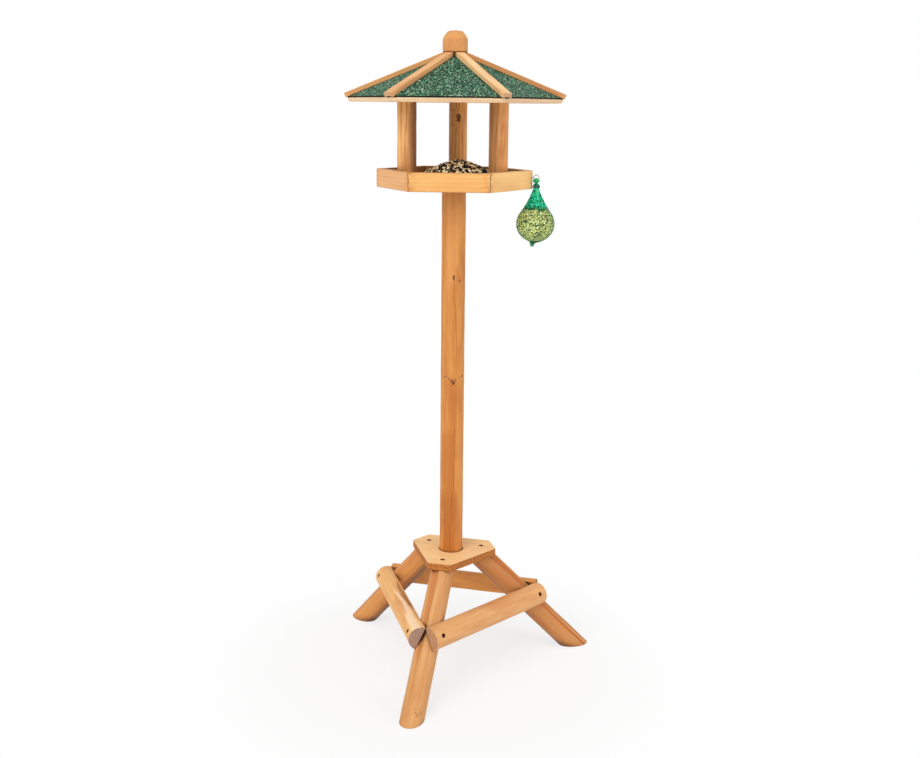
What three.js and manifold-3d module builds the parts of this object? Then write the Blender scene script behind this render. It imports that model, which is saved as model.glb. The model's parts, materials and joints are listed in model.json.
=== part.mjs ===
// A wooden bird table: a roofed six-sided feeding tray on a round pole, carried by a tripod of raked
// logs, with a fat ball in a net hanging from a screw eye at one corner of the tray.
// Millimetres, +Z up. The origin is on the ground, under the middle of the table's outline.
import * as THREE from 'three';
import { mergeVertices } from 'three/addons/utils/BufferGeometryUtils.js';
import Module from 'manifold-3d';

const wasm = await Module();
wasm.setup();

// Clearances
const seatGap = 0.3;
const overrun = 6;
const weldTolerance = 1e-3;

// Facets round each kind of piece
const logFacets = 40;
const skirtFacets = 6;
const reliefFacets = 48;
const postFacets = 36;
const screwFacets = 12;
const wireFacets = 8;
const ringFacets = 28;
const ballFacets = 28;

// Tripod: three round legs, raked outwards, cut level at the ground and under the base plate
const legCount = 3;
const legRadius = 20;
const legTopCircle = 48.5;
const legFootCircle = 236;
const reliefDepth = 4.5;
const reliefFootDepth = 0.4;
const reliefRadius = 18;
const frontReliefTurn = THREE.MathUtils.degToRad(-23);
const rightReliefTurn = THREE.MathUtils.degToRad(-33);
const frontLegAzimuth = -Math.PI / 2;

// Base plate: a triangle with its corners cut off square over the legs
const plateTop = 208;
const plateThickness = 12;
const plateEndDistance = 76.5;
const plateSideDistance = 56;
const poleHoleClearance = 1;

// Rails: half-round logs that tie the legs in pairs
const railRadius = 20;
const railHeight = 100;
const railEndGap = 0.6;

// Pole, and the hidden board that it stands on
const poleRadius = 20;
const seatThickness = 10;
const seatCornerWidth = 6;
const seatScrewInset = 7;

// Tray: a floor board inside six mitred rim boards
const houseTurn = THREE.MathUtils.degToRad(11);
const trayBottom = 840;
const trayCornerRadius = 129;
const rimHeight = 30;
const rimThickness = 11;
const floorThickness = 9;

// Posts
const postCount = 3;
const postRadius = 15.5;
const postScrewLead = 6;

// Roof: six panels, a felt cover, six hip battens and a turned cap
const sideCount = 6;
const roofSlope = THREE.MathUtils.degToRad(25);
const eaveCornerRadius = 176;
const eaveTop = 983;
const panelThickness = 7;
const feltThickness = 2;
const feltInset = 1;
const battenWidth = 15;
const battenDepth = 7.5;
const battenChamfer = 1.2;
const battenOverhang = 2;
const capRadius = 20.3;
const capLip = 0.6;
const capHeight = 34;
const capStraight = 20;
const capChamfer = 1.2;
const capTopRadius = 11;
const capTopRise = 1;
const capShoulderBulge = 1.6;
const capShoulderSteps = 6;
const tenonRadius = 6;
const tenonLength = 18;

// Screw eye at the tray's corner
const eyeWireRadius = 0.9;
const eyeRingRadius = 4.3;
const eyeStandoff = 1;
const eyeDrop = 11.5;
const eyeShankLength = 14;
const eyePointLength = 3;

// Fat ball in its net, hung from the screw eye
const knotRadius = 5.5;
const knotFacets = 18;
const neckRadius = 4.2;
const neckLip = 5.2;
const neckTop = 3.5;
const clipTop = 6.5;
const clipHeight = 5.5;
const clipThickness = 1.6;
const netThickness = 0.9;
const ballRadius = 31;
const ballHalfHeight = 29.5;
const ballDrop = 70;
const netLipShare = 0.35;
const netSag = 2;
const netSagSteps = 4;
const tailRadius = 4.6;
const tailLength = 6;
const tailOffset = 4.6;

// Heap of seed on the tray. Its foot and its peak are a little to one side of the tray's middle.
const heapRadius = 62;
const heapHeight = 36;
const heapFootShift = 4;
const heapPeakShift = 9;
const heapSlopeReach = 78;
const heapPower = 1.53;
const heapRings = 8;
const heapLobeShares = [[3, 0.03, 0.4], [5, 0.022, 1.9]];

// Screws: head radius, head height, shank radius, length, point length, depth of the head below the wood
const plateScrew = { head: 4, headHeight: 3, shank: 2, length: 38, point: 6, sink: 3 };
const railScrew = { head: 3.6, headHeight: 3, shank: 2, length: 30, point: 6, sink: 5 };
const seatScrew = { head: 3.4, headHeight: 2.6, shank: 1.75, length: 17, point: 4, sink: 0.4 };
const poleScrew = { head: 5, headHeight: 3.6, shank: 2.5, length: 60, point: 8, sink: 0.4 };
const postFootScrew = { head: 3.8, headHeight: 3, shank: 2, length: 40, point: 6, sink: 0.4 };
const postTopScrew = { head: 3.4, headHeight: 2.6, shank: 1.75, length: 34, point: 5, sink: 0.2 };

// Colours
const paleWood = 0xd9a066;
const deepWood = 0xc68747;
const plyWood = 0xd8a468;
const feltGreen = 0x2f6b50;
const steelGrey = 0xa9adb0;
const netGreen = 0x17b26c;
const fatYellow = 0xc9cf86;
const seedBrown = 0x6b5034;
const clipDark = 0x1f2a24;

// Sizes worked out from the ones above
const legSpacing = 2 * Math.PI / legCount;
const halfSpacing = legSpacing / 2;
const legRise = plateTop - plateThickness;
const legRun = legFootCircle - legTopCircle;
const legRake = Math.atan2(legRun, legRise);
const legLength = Math.hypot(legRun, legRise);
const railTilt = Math.atan2(legRun * Math.cos(halfSpacing), legRise);
const legCircleAtRail = legTopCircle + legRun * (legRise - railHeight) / legRise;
const railStandoff = legRadius + seatGap;
const railOut = legCircleAtRail * Math.cos(halfSpacing) + railStandoff * Math.cos(railTilt);
const railUp = railHeight + railStandoff * Math.sin(railTilt);
const railScrewSpread = legCircleAtRail * Math.sin(halfSpacing);
const railHalfLength = (railOut - railRadius * Math.sin(railTilt)) * Math.tan(halfSpacing) - railEndGap;
const plateScrewCircle = legTopCircle + plateScrew.head + plateScrew.sink;
const seatSideDistance = legTopCircle - legRadius / Math.cos(legRake) - seatGap;
const seatCornerInset = seatCornerWidth / 2 * Math.sin(halfSpacing);
const seatCornerDistance = (seatSideDistance - seatCornerInset) / Math.cos(halfSpacing);
const seatScrewCircle = seatCornerDistance - seatScrewInset;
const seatBottom = legRise - seatGap - seatThickness;
const poleBottom = legRise + seatGap;
const poleTop = trayBottom - seatGap;
const halfSide = Math.PI / sideCount;
const trayApothem = trayCornerRadius * Math.cos(halfSide);
const rimInner = trayApothem - rimThickness;
const floorTop = trayBottom + floorThickness;
const postCircle = rimInner - postRadius - seatGap;
const eaveApothem = eaveCornerRadius * Math.cos(halfSide);
const hipSlope = Math.atan(Math.tan(roofSlope) * Math.cos(halfSide));
const feltRise = (seatGap + feltThickness) / Math.cos(roofSlope);
const hipLean = Math.sin(roofSlope) * Math.cos(halfSide) * Math.sin(hipSlope);
const hipFall = Math.sin(roofSlope) * Math.sin(halfSide)
  / (hipLean + Math.cos(roofSlope) * Math.cos(hipSlope));
const battenCrown = seatGap + battenDepth - battenWidth / 2 * hipFall;
const capBase = hipHeight(capRadius - capLip) + battenCrown / Math.cos(hipSlope);
const eyeHeight = trayBottom + rimHeight - eyeDrop;
const eyeOut = trayCornerRadius + eyeStandoff + eyeRingRadius + eyeWireRadius;
const knotHeight = eyeHeight - knotRadius;
const ballHeight = knotHeight - ballDrop;

// Height of the panels' top plane at a distance from the axis, in the middle of a side.
function panelHeight(distance) {
  return eaveTop + (eaveApothem - distance) * Math.tan(roofSlope);
}

// Height of the felt's top along a hip, at a distance from the axis.
function hipHeight(distance) {
  return panelHeight(distance * Math.cos(halfSide)) + feltRise;
}

// A closed three.js geometry, moved by a matrix, as a solid that can be cut and joined.
function solid(geometry, place = new THREE.Matrix4()) {
  const shell = geometry.clone().applyMatrix4(place);
  shell.deleteAttribute('normal');
  shell.deleteAttribute('uv');
  const merged = mergeVertices(shell, weldTolerance);
  const corners = merged.index.array;
  const kept = [];
  for (let i = 0; i < corners.length; i += 3) {
    const [a, b, c] = corners.subarray(i, i + 3);
    if (a !== b && b !== c && c !== a) kept.push(a, b, c);
  }
  const vertProperties = merged.attributes.position.array;
  return new wasm.Manifold(new wasm.Mesh({ numProp: 3, vertProperties, triVerts: new Uint32Array(kept) }));
}

// A solid as a three.js geometry with flat-shaded faces.
function geometryOf(piece) {
  const mesh = piece.getMesh();
  const geometry = new THREE.BufferGeometry();
  geometry.setAttribute('position', new THREE.BufferAttribute(new Float32Array(mesh.vertProperties), 3));
  geometry.setIndex(new THREE.BufferAttribute(new Uint32Array(mesh.triVerts), 1));
  const faceted = geometry.toNonIndexed();
  faceted.computeVertexNormals();
  return faceted;
}

function cut(body, ...tools) {
  return tools.reduce((left, tool) => left.subtract(tool), body);
}

function material(color, roughness, metalness = 0) {
  return new THREE.MeshStandardMaterial({ color, roughness, metalness });
}

const woodFinish = () => material(paleWood, 0.55);
const logFinish = () => material(deepWood, 0.55);
const plyFinish = () => material(plyWood, 0.6);
const steelFinish = () => material(steelGrey, 0.35, 0.9);
const netFinish = () => material(netGreen, 0.45);

function piece(name, shape, finish) {
  const geometry = shape.isBufferGeometry ? shape : geometryOf(shape);
  const mesh = new THREE.Mesh(geometry, finish);
  mesh.name = name;
  return mesh;
}

// A group turned about the vertical axis, so that its +X axis points outwards at an azimuth.
function facing(azimuth, ...members) {
  const group = new THREE.Group();
  group.rotation.z = azimuth;
  group.add(...members);
  return group;
}

const turned = (angle) => new THREE.Matrix4().makeRotationZ(angle);
const moved = (x, y, z) => new THREE.Matrix4().makeTranslation(x, y, z);

// Points along an arc, from one angle to another.
function arc(x, y, radius, from, to, steps) {
  const points = [];
  for (let i = 0; i <= steps; i += 1) {
    const angle = from + (to - from) * i / steps;
    points.push(new THREE.Vector2(x + radius * Math.cos(angle), y + radius * Math.sin(angle)));
  }
  return points;
}

// An outline drawn in X and Y, raised from z = 0.
function raised(points, height) {
  return new THREE.ExtrudeGeometry(new THREE.Shape(points), { depth: height, bevelEnabled: false });
}

// A profile of distances from the axis and heights, turned round the Z axis.
function revolved(profile, facets) {
  const points = profile.map(([distance, height]) => new THREE.Vector2(distance, height));
  return new THREE.LatheGeometry(points, facets).rotateX(Math.PI / 2);
}

// A round bar along Z, from one height to another.
function bar(radius, from, to, facets) {
  const length = to - from;
  return new THREE.CylinderGeometry(radius, radius, length, facets)
    .rotateX(Math.PI / 2).translate(0, 0, from + length / 2);
}

// A block between two corners.
function block(low, high) {
  const size = high.map((end, i) => end - low[i]);
  const middle = high.map((end, i) => (end + low[i]) / 2);
  return new THREE.BoxGeometry(...size).translate(...middle);
}

// A countersunk screw that points down -Z, with the top of its head at z = 0.
function screw({ head, headHeight, shank, length, point }) {
  return revolved([
    [0, -length], [shank, point - length], [shank, -headHeight], [head, 0], [0, 0],
  ], screwFacets);
}

// The hole for such a screw: its own shape with clearance all round, and a bore above its head.
function screwHole({ head, headHeight, shank, length, point, sink }) {
  const bore = shank + seatGap;
  const mouth = head + seatGap;
  return revolved([
    [0, -length - seatGap], [bore, point - length], [bore, -headHeight - seatGap], [mouth, -seatGap],
    [mouth, sink + overrun], [0, sink + overrun],
  ], screwFacets);
}

const screwDown = (type, x, top) => moved(x, 0, top - type.sink);
const screwUp = (type, x, bottom) => new THREE.Matrix4().makeRotationX(Math.PI)
  .setPosition(x, 0, bottom + type.sink);

function placedScrew(name, type, place) {
  return piece(name, screw(type).applyMatrix4(place), steelFinish());
}

const holeAt = (type, place) => solid(screwHole(type), place);

// Place of a rail's screw in the rail's frame, where +X points outwards across the rail.
function railScrewPlace(side) {
  const reach = railRadius - railScrew.sink;
  return new THREE.Matrix4().makeRotationY(Math.PI / 2 - railTilt).setPosition(
    railOut + reach * Math.cos(railTilt), side * railScrewSpread, railUp + reach * Math.sin(railTilt));
}

// A bar that cuts a leg's relief hollow: deepest at the leg's top, and nearly run out at its foot.
function reliefBar(turn) {
  const spare = reliefRadius + overrun;
  const tilt = Math.atan2(reliefDepth - reliefFootDepth, legLength);
  const lean = new THREE.Matrix4().makeRotationY(tilt)
    .setPosition(legRadius + reliefRadius - reliefDepth, 0, 0);
  return solid(bar(reliefRadius, -spare, legLength + spare, reliefFacets),
    new THREE.Matrix4().makeRotationZ(Math.PI - turn).multiply(lean));
}

// A raked leg in the frame where +X points outwards, cut level at both ends.
function leg(name, turn) {
  const spare = legRadius * Math.tan(legRake) + overrun;
  const place = new THREE.Matrix4().makeRotationY(Math.PI - legRake).setPosition(legTopCircle, 0, legRise);
  const log = cut(solid(bar(legRadius, -spare, legLength + spare, logFacets)), reliefBar(turn))
    .transform(place.elements);
  const reach = legFootCircle + 2 * spare;
  const level = solid(block([-reach, -reach, 0], [reach, reach, legRise - seatGap]));
  const holes = [
    holeAt(plateScrew, screwDown(plateScrew, plateScrewCircle, plateTop)),
    holeAt(railScrew, turned(halfSpacing).multiply(railScrewPlace(-1))),
    holeAt(railScrew, turned(-halfSpacing).multiply(railScrewPlace(1))),
  ];
  return piece(name, cut(log.intersect(level), ...holes), logFinish());
}

// A half-round rail. Its flat side bears on two legs, so it leans out with them.
function rail(name) {
  const outline = arc(0, 0, railRadius, -Math.PI / 2, Math.PI / 2, logFacets / 2);
  const place = new THREE.Matrix4().makeRotationY(-railTilt).setPosition(railOut, 0, railUp);
  const log = raised(outline, 2 * railHalfLength).translate(0, 0, -railHalfLength).rotateX(Math.PI / 2);
  const holes = [-1, 1].map((side) => holeAt(railScrew, railScrewPlace(side)));
  return piece(name, cut(solid(log, place), ...holes), logFinish());
}

// A triangular board with its corners cut off square. The distances are from the table's axis.
function cutTriangle(endDistance, sideDistance, thickness, turn) {
  const half = (sideDistance - endDistance * Math.cos(halfSpacing)) / Math.sin(halfSpacing);
  const middle = new THREE.Vector2();
  const points = [];
  for (let i = 0; i < legCount; i += 1) {
    for (const side of [-half, half]) {
      points.push(new THREE.Vector2(endDistance, side).rotateAround(middle, turn + i * legSpacing));
    }
  }
  return raised(points, thickness);
}

// Azimuths of the legs and, half a spacing on, of the rails and the seat board's corners.
const legAzimuth = (i) => frontLegAzimuth + i * legSpacing;
const gapAzimuth = (i) => legAzimuth(i) + halfSpacing;
const eachLeg = (make) => Array.from({ length: legCount }, (_, i) => make(i));

function basePlate() {
  const board = solid(cutTriangle(plateEndDistance, plateSideDistance, plateThickness, frontLegAzimuth),
    moved(0, 0, legRise));
  const holeRadius = poleRadius + poleHoleClearance;
  const poleHole = solid(bar(holeRadius, legRise - overrun, plateTop + overrun, logFacets));
  const legHoles = eachLeg((i) => holeAt(plateScrew,
    turned(legAzimuth(i)).multiply(screwDown(plateScrew, plateScrewCircle, plateTop))));
  const seatHoles = eachLeg((i) => holeAt(seatScrew,
    turned(gapAzimuth(i)).multiply(screwUp(seatScrew, seatScrewCircle, seatBottom))));
  return piece('base_plate', cut(board, poleHole, ...legHoles, ...seatHoles), plyFinish());
}

function poleSeat() {
  const board = solid(cutTriangle(seatCornerDistance, seatSideDistance, seatThickness,
    frontLegAzimuth + halfSpacing), moved(0, 0, seatBottom));
  const holes = eachLeg((i) => holeAt(seatScrew,
    turned(gapAzimuth(i)).multiply(screwUp(seatScrew, seatScrewCircle, seatBottom))));
  const middleHole = holeAt(poleScrew, screwUp(poleScrew, 0, seatBottom));
  return piece('pole_seat', cut(board, ...holes, middleHole), plyFinish());
}

function pole() {
  const log = solid(bar(poleRadius, poleBottom, poleTop, logFacets));
  return piece('pole', cut(log,
    holeAt(poleScrew, screwUp(poleScrew, 0, seatBottom)),
    holeAt(poleScrew, screwDown(poleScrew, 0, floorTop))), logFinish());
}

function tripod() {
  const group = new THREE.Group();
  const legs = [['leg_front', frontReliefTurn], ['leg_right', rightReliefTurn], ['leg_left', 0]];
  const rails = ['rail_front_right', 'rail_rear', 'rail_front_left'];
  legs.forEach(([name, turn], i) => {
    const screwName = name.replace('leg', 'plate_screw');
    group.add(facing(legAzimuth(i), leg(name, turn),
      placedScrew(screwName, plateScrew, screwDown(plateScrew, plateScrewCircle, plateTop))));
  });
  rails.forEach((name, i) => {
    group.add(facing(gapAzimuth(i), rail(name),
      placedScrew(`${name}_screw_a`, railScrew, railScrewPlace(-1)),
      placedScrew(`${name}_screw_b`, railScrew, railScrewPlace(1)),
      placedScrew(`seat_screw_${i + 1}`, seatScrew, screwUp(seatScrew, seatScrewCircle, seatBottom))));
  });
  group.add(basePlate(), poleSeat(), pole(),
    placedScrew('pole_foot_screw', poleScrew, screwUp(poleScrew, 0, seatBottom)));
  return group;
}

// Azimuths of the house's sides and corners, from the corner that carries the screw eye.
const sideAzimuth = (i) => halfSide + i * 2 * halfSide;
const cornerAzimuth = (i) => i * 2 * halfSide;
const eachSide = (make) => Array.from({ length: sideCount }, (_, i) => make(i));
const postSide = (i) => sideAzimuth(1 + i * sideCount / postCount);
const eachPost = (make) => Array.from({ length: postCount }, (_, i) => make(i));

function hexagon(apothem, height) {
  const corners = eachSide((i) => new THREE.Vector2(apothem / Math.cos(halfSide), 0)
    .rotateAround(new THREE.Vector2(), cornerAzimuth(i)));
  return raised(corners, height);
}

function trayFloor() {
  const board = solid(hexagon(rimInner - seatGap, floorThickness), moved(0, 0, trayBottom));
  const postHoles = eachPost((i) => holeAt(postFootScrew,
    turned(postSide(i)).multiply(screwUp(postFootScrew, postCircle, trayBottom))));
  const poleHole = holeAt(poleScrew, screwDown(poleScrew, 0, floorTop));
  return piece('tray_floor', cut(board, ...postHoles, poleHole), plyFinish());
}

// A rim board, mitred at both ends, in the frame where +X points outwards.
function rimBoard(i) {
  const endGap = seatGap / 2 / Math.cos(halfSide);
  const end = (distance) => distance * Math.tan(halfSide) - endGap;
  const outline = [
    new THREE.Vector2(rimInner, -end(rimInner)), new THREE.Vector2(trayApothem, -end(trayApothem)),
    new THREE.Vector2(trayApothem, end(trayApothem)), new THREE.Vector2(rimInner, end(rimInner)),
  ];
  const board = solid(raised(outline, rimHeight), moved(0, 0, trayBottom));
  const hole = solid(bar(eyeWireRadius + seatGap, -overrun, eyeShankLength + seatGap, wireFacets),
    turned(-sideAzimuth(i)).multiply(eyeShankPlace()));
  return piece(`rim_board_${i + 1}`, cut(board, hole), woodFinish());
}

// The screw eye's shank runs inwards from its ring, level, into the corner of the rim.
function eyeShankPlace() {
  return new THREE.Matrix4().makeRotationY(-Math.PI / 2)
    .setPosition(eyeOut - eyeRingRadius, 0, eyeHeight);
}

function screwEye() {
  const ring = solid(eyeRing(eyeWireRadius));
  const shank = solid(revolved([
    [0, 0], [eyeWireRadius, 0], [eyeWireRadius, eyeShankLength - eyePointLength], [0, eyeShankLength],
  ], wireFacets), eyeShankPlace());
  return piece('screw_eye', ring.add(shank), steelFinish());
}

// A ring in the upright plane through the table's axis and the corner.
function eyeRing(wireRadius) {
  return new THREE.TorusGeometry(eyeRingRadius, wireRadius, wireFacets, ringFacets)
    .rotateX(Math.PI / 2).translate(eyeOut, 0, eyeHeight);
}

// Cuts off everything above a panel's underside, in the frame where +X points outwards.
function abovePanels() {
  const reach = eaveCornerRadius;
  const place = new THREE.Matrix4().makeRotationY(roofSlope).setPosition(0, 0,
    panelHeight(0) - (panelThickness + seatGap) / Math.cos(roofSlope));
  return solid(block([-reach, -reach, 0], [2 * reach, reach, reach]), place);
}

// Place of the screw that goes square through a panel into a post.
function postTopPlace() {
  const x = postCircle + postScrewLead;
  return new THREE.Matrix4().makeRotationY(roofSlope).setPosition(
    x - postTopScrew.sink * Math.sin(roofSlope), 0,
    panelHeight(x) - postTopScrew.sink * Math.cos(roofSlope));
}

function post(name) {
  const top = panelHeight(postCircle - postRadius);
  const log = solid(bar(postRadius, floorTop + seatGap, top, postFacets), moved(postCircle, 0, 0));
  return piece(name, cut(log, abovePanels(),
    holeAt(postFootScrew, screwUp(postFootScrew, postCircle, trayBottom)),
    holeAt(postTopScrew, postTopPlace())), logFinish());
}

// Everything between two upright planes that meet at the axis, half a side to each side of +X.
function wedge() {
  const reach = 2 * eaveCornerRadius;
  const tip = seatGap / 2 / Math.sin(halfSide);
  const half = reach * Math.tan(halfSide);
  return solid(raised([
    new THREE.Vector2(tip, 0), new THREE.Vector2(tip + reach, -half), new THREE.Vector2(tip + reach, half),
  ], 2 * eaveTop));
}

const tenonBore = () => solid(bar(tenonRadius + seatGap, 0, 2 * eaveTop, logFacets));

// A roof panel: a board on the slope, square at the eave and bevelled along both hips.
function roofPanel(i, hasPost) {
  const inner = -overrun;
  const under = panelThickness / Math.cos(roofSlope);
  const profile = [
    new THREE.Vector2(inner, panelHeight(inner) - under),
    new THREE.Vector2(eaveApothem - panelThickness * Math.sin(roofSlope),
      eaveTop - panelThickness * Math.cos(roofSlope)),
    new THREE.Vector2(eaveApothem, eaveTop),
    new THREE.Vector2(inner, panelHeight(inner)),
  ];
  const width = 2 * eaveCornerRadius;
  const strip = raised(profile, width).translate(0, 0, -width / 2).rotateX(Math.PI / 2);
  const board = cut(solid(strip).intersect(wedge()), tenonBore());
  const drilled = hasPost ? cut(board, holeAt(postTopScrew, postTopPlace())) : board;
  return piece(`roof_panel_${i + 1}`, drilled, plyFinish());
}

// The felt cover: a thin six-sided pyramid over the panels, with a hole for the cap's tenon.
function roofFelt() {
  const bore = tenonRadius + seatGap;
  const edge = eaveApothem - feltInset;
  const low = seatGap / Math.cos(roofSlope);
  const corner = (distance, height) => [distance / Math.cos(halfSide), height];
  const cover = revolved([
    corner(bore, panelHeight(bore) + low),
    corner(edge, panelHeight(edge) + low),
    corner(edge + feltThickness * Math.sin(roofSlope),
      panelHeight(edge) + low + feltThickness * Math.cos(roofSlope)),
    corner(bore, panelHeight(bore) + feltRise),
    corner(bore, panelHeight(bore) + low),
  ], sideCount);
  return piece('roof_felt', cover.rotateZ(Math.PI / 2), material(feltGreen, 0.95));
}

// A hip batten: notched underneath to straddle the hip, mitred and cut level under the cap.
function hipBatten(i) {
  const half = battenWidth / 2;
  const foot = seatGap - half * hipFall;
  const crown = battenCrown;
  const outline = [
    [-half, foot], [0, seatGap], [half, foot], [half, crown - battenChamfer],
    [half - battenChamfer, crown], [battenChamfer - half, crown], [-half, crown - battenChamfer],
  ].map(([x, y]) => new THREE.Vector2(x, y));
  const length = (eaveCornerRadius + battenOverhang) / Math.cos(hipSlope);
  const place = new THREE.Matrix4().makeBasis(
    new THREE.Vector3(0, 1, 0),
    new THREE.Vector3(Math.sin(hipSlope), 0, Math.cos(hipSlope)),
    new THREE.Vector3(Math.cos(hipSlope), 0, -Math.sin(hipSlope)),
  ).setPosition(0, 0, hipHeight(0));
  const strip = solid(raised(outline, length), place);
  const reach = 2 * eaveCornerRadius;
  const underCap = solid(block([-reach, -reach, 0], [reach, reach, capBase - seatGap]));
  return piece(`hip_batten_${i + 1}`,
    cut(strip.intersect(wedge()).intersect(underCap), tenonBore()), woodFinish());
}

// The turned cap: a tenon, a straight drum, a bulging shoulder and a low crown.
function roofCap() {
  const rise = capHeight - capTopRise - capStraight;
  const profile = [
    [0, -tenonLength], [tenonRadius, -tenonLength], [tenonRadius, 0], [capRadius - capChamfer, 0],
    [capRadius, capChamfer],
  ];
  for (let i = 0; i <= capShoulderSteps; i += 1) {
    const share = i / capShoulderSteps;
    const bulge = capShoulderBulge * Math.sin(share * Math.PI);
    profile.push([
      capRadius + (capTopRadius - capRadius) * share + bulge * (1 - share),
      capStraight + rise * share + bulge * share,
    ]);
  }
  profile.push([capTopRadius / 2, capHeight - capTopRise / 4], [0, capHeight]);
  return piece('roof_cap', revolved(profile, logFacets).translate(0, 0, capBase), woodFinish());
}

// A heap of loose seed: a low rounded cone with a steep, wavy foot.
function seedHeap() {
  const profile = [[0, 0], [heapRadius, 0]];
  for (let i = heapRings - 1; i > 0; i -= 1) {
    const distance = heapRadius * i / heapRings;
    profile.push([distance, heapHeight * (1 - (distance / heapSlopeReach) ** heapPower)]);
  }
  profile.push([0, heapHeight]);
  const heap = revolved(profile, logFacets);
  const places = heap.getAttribute('position');
  const lean = (heapPeakShift - heapFootShift) / heapHeight;
  for (let i = 0; i < places.count; i += 1) {
    const azimuth = Math.atan2(places.getY(i), places.getX(i));
    const wave = heapLobeShares.reduce((sum, [lobes, share, turn]) =>
      sum + share * Math.sin(lobes * azimuth + turn), 1);
    places.setXY(i, places.getX(i) * wave + places.getZ(i) * lean, places.getY(i) * wave);
  }
  heap.computeVertexNormals();
  return piece('seed_heap', heap.translate(heapFootShift, 0, floorTop + seatGap), material(seedBrown, 0.8));
}

// The net's knot, tied round the lower half of the screw eye, which runs through a channel in it.
function netKnot() {
  const lump = new THREE.SphereGeometry(knotRadius, knotFacets, knotFacets / 2).rotateX(Math.PI / 2);
  const channel = solid(eyeRing(eyeWireRadius + seatGap));
  return piece('net_knot', cut(solid(lump, moved(eyeOut, 0, knotHeight)), channel), netFinish());
}

// The gathered top of the net: a cup under the knot, a neck, and a skirt that opens over the ball.
function netBag() {
  const cup = knotRadius + seatGap;
  const lipAngle = Math.asin((neckLip - netThickness / 2) / cup);
  const cupArc = arc(0, 0, cup, -Math.PI / 2, lipAngle - Math.PI / 2, skirtFacets)
    .map((point) => [Math.max(point.x, 0), point.y]);
  const inner = ballRadius + seatGap;
  const outer = inner + netThickness;
  const lipShareAngle = Math.asin(netLipShare);
  const over = (radius, angle) => [
    radius * Math.cos(angle), radius * ballHalfHeight / ballRadius * Math.sin(angle) - ballDrop,
  ];
  const skirtTop = tangentAngle(outer, ballDrop - clipTop - clipHeight, neckRadius);
  const outside = [];
  const inside = [];
  for (let i = 0; i <= skirtFacets; i += 1) {
    const share = i / skirtFacets;
    outside.push(over(outer, skirtTop + (lipShareAngle - skirtTop) * share));
    inside.push(over(inner, lipShareAngle + (Math.PI / 2 - lipShareAngle) * share));
  }
  inside[skirtFacets][0] = 0;
  const neckFoot = -clipTop - clipHeight;
  const neck = [[neckLip, -neckTop], [neckRadius, -clipTop], [neckRadius, neckFoot]];
  const flank = [];
  for (let i = 1; i < netSagSteps; i += 1) {
    const share = i / netSagSteps;
    const sag = netSag * Math.sin(share * Math.PI);
    flank.push([
      neckRadius + (outside[0][0] - neckRadius) * share - sag,
      neckFoot + (outside[0][1] - neckFoot) * share,
    ]);
  }
  const profile = [...cupArc, ...neck, ...flank, ...outside, ...inside].reverse();
  return piece('net_bag', revolved(profile, ballFacets).translate(eyeOut, 0, knotHeight), netFinish());
}

// Angle above the ball's middle at which a line from the foot of the neck touches a round ball.
function tangentAngle(radius, rise, start) {
  const away = Math.hypot(start, rise);
  return Math.atan2(rise, start) - Math.acos(radius / away);
}

function netClip() {
  const inner = neckRadius + seatGap;
  const outer = inner + clipThickness;
  const bottom = seatGap - clipTop - clipHeight;
  const top = -clipTop - seatGap;
  const band = revolved([
    [inner, bottom], [outer, bottom], [outer, top], [inner, top], [inner, bottom],
  ], ballFacets);
  return piece('net_clip', band.translate(eyeOut, 0, knotHeight), material(clipDark, 0.5));
}

function ballShape(radius) {
  const squash = ballHalfHeight / ballRadius;
  return new THREE.SphereGeometry(radius, ballFacets, ballFacets / 2)
    .rotateX(Math.PI / 2).scale(1, 1, squash).translate(eyeOut, 0, ballHeight);
}

// The knotted tail of the net under the ball.
function netTail() {
  const half = tailLength / 2;
  const lump = new THREE.SphereGeometry(tailRadius, knotFacets, knotFacets / 2)
    .rotateX(Math.PI / 2).scale(1, 1, tailLength / tailRadius);
  const place = moved(eyeOut - tailOffset, 0, ballHeight - ballHalfHeight - half + seatGap);
  return piece('net_tail', cut(solid(lump, place), solid(ballShape(ballRadius + seatGap))), netFinish());
}

function house() {
  const posts = ['post_rear', 'post_left', 'post_right'];
  const group = facing(houseTurn, trayFloor(),
    placedScrew('pole_top_screw', poleScrew, screwDown(poleScrew, 0, floorTop)),
    roofFelt(), roofCap(), seedHeap(),
    screwEye(), netKnot(), netBag(), netClip(), netTail(),
    piece('fat_ball', ballShape(ballRadius), material(fatYellow, 0.7)));
  posts.forEach((name, i) => {
    group.add(facing(postSide(i), post(name),
      placedScrew(`${name}_foot_screw`, postFootScrew, screwUp(postFootScrew, postCircle, trayBottom)),
      placedScrew(`${name}_top_screw`, postTopScrew, postTopPlace())));
  });
  for (let i = 0; i < sideCount; i += 1) {
    const hasPost = i % (sideCount / postCount) === 1;
    group.add(facing(sideAzimuth(i), rimBoard(i), roofPanel(i, hasPost)));
    group.add(facing(cornerAzimuth(i), hipBatten(i)));
  }
  return group;
}

const birdTable = new THREE.Group();
birdTable.add(tripod(), house());
birdTable.updateMatrixWorld(true);
const middle = new THREE.Box3().setFromObject(birdTable, true).getCenter(new THREE.Vector3());
birdTable.position.set(-middle.x, -middle.y, 0);

export default birdTable;
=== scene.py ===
# %% [markdown]
# # A bird table on a log tripod
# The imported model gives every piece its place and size. This lesson dresses it: oiled softwood with
# grain, knots and soft arrises, mineral felt, plated screws, a heap of loose seed, and a fat ball in a
# knitted net. The frame is loaded first, because every later piece is measured from it.

# %% Load the frame
import bmesh
import bpy
import json
import math
import random
from mathutils import Matrix, Vector, noise


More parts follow.
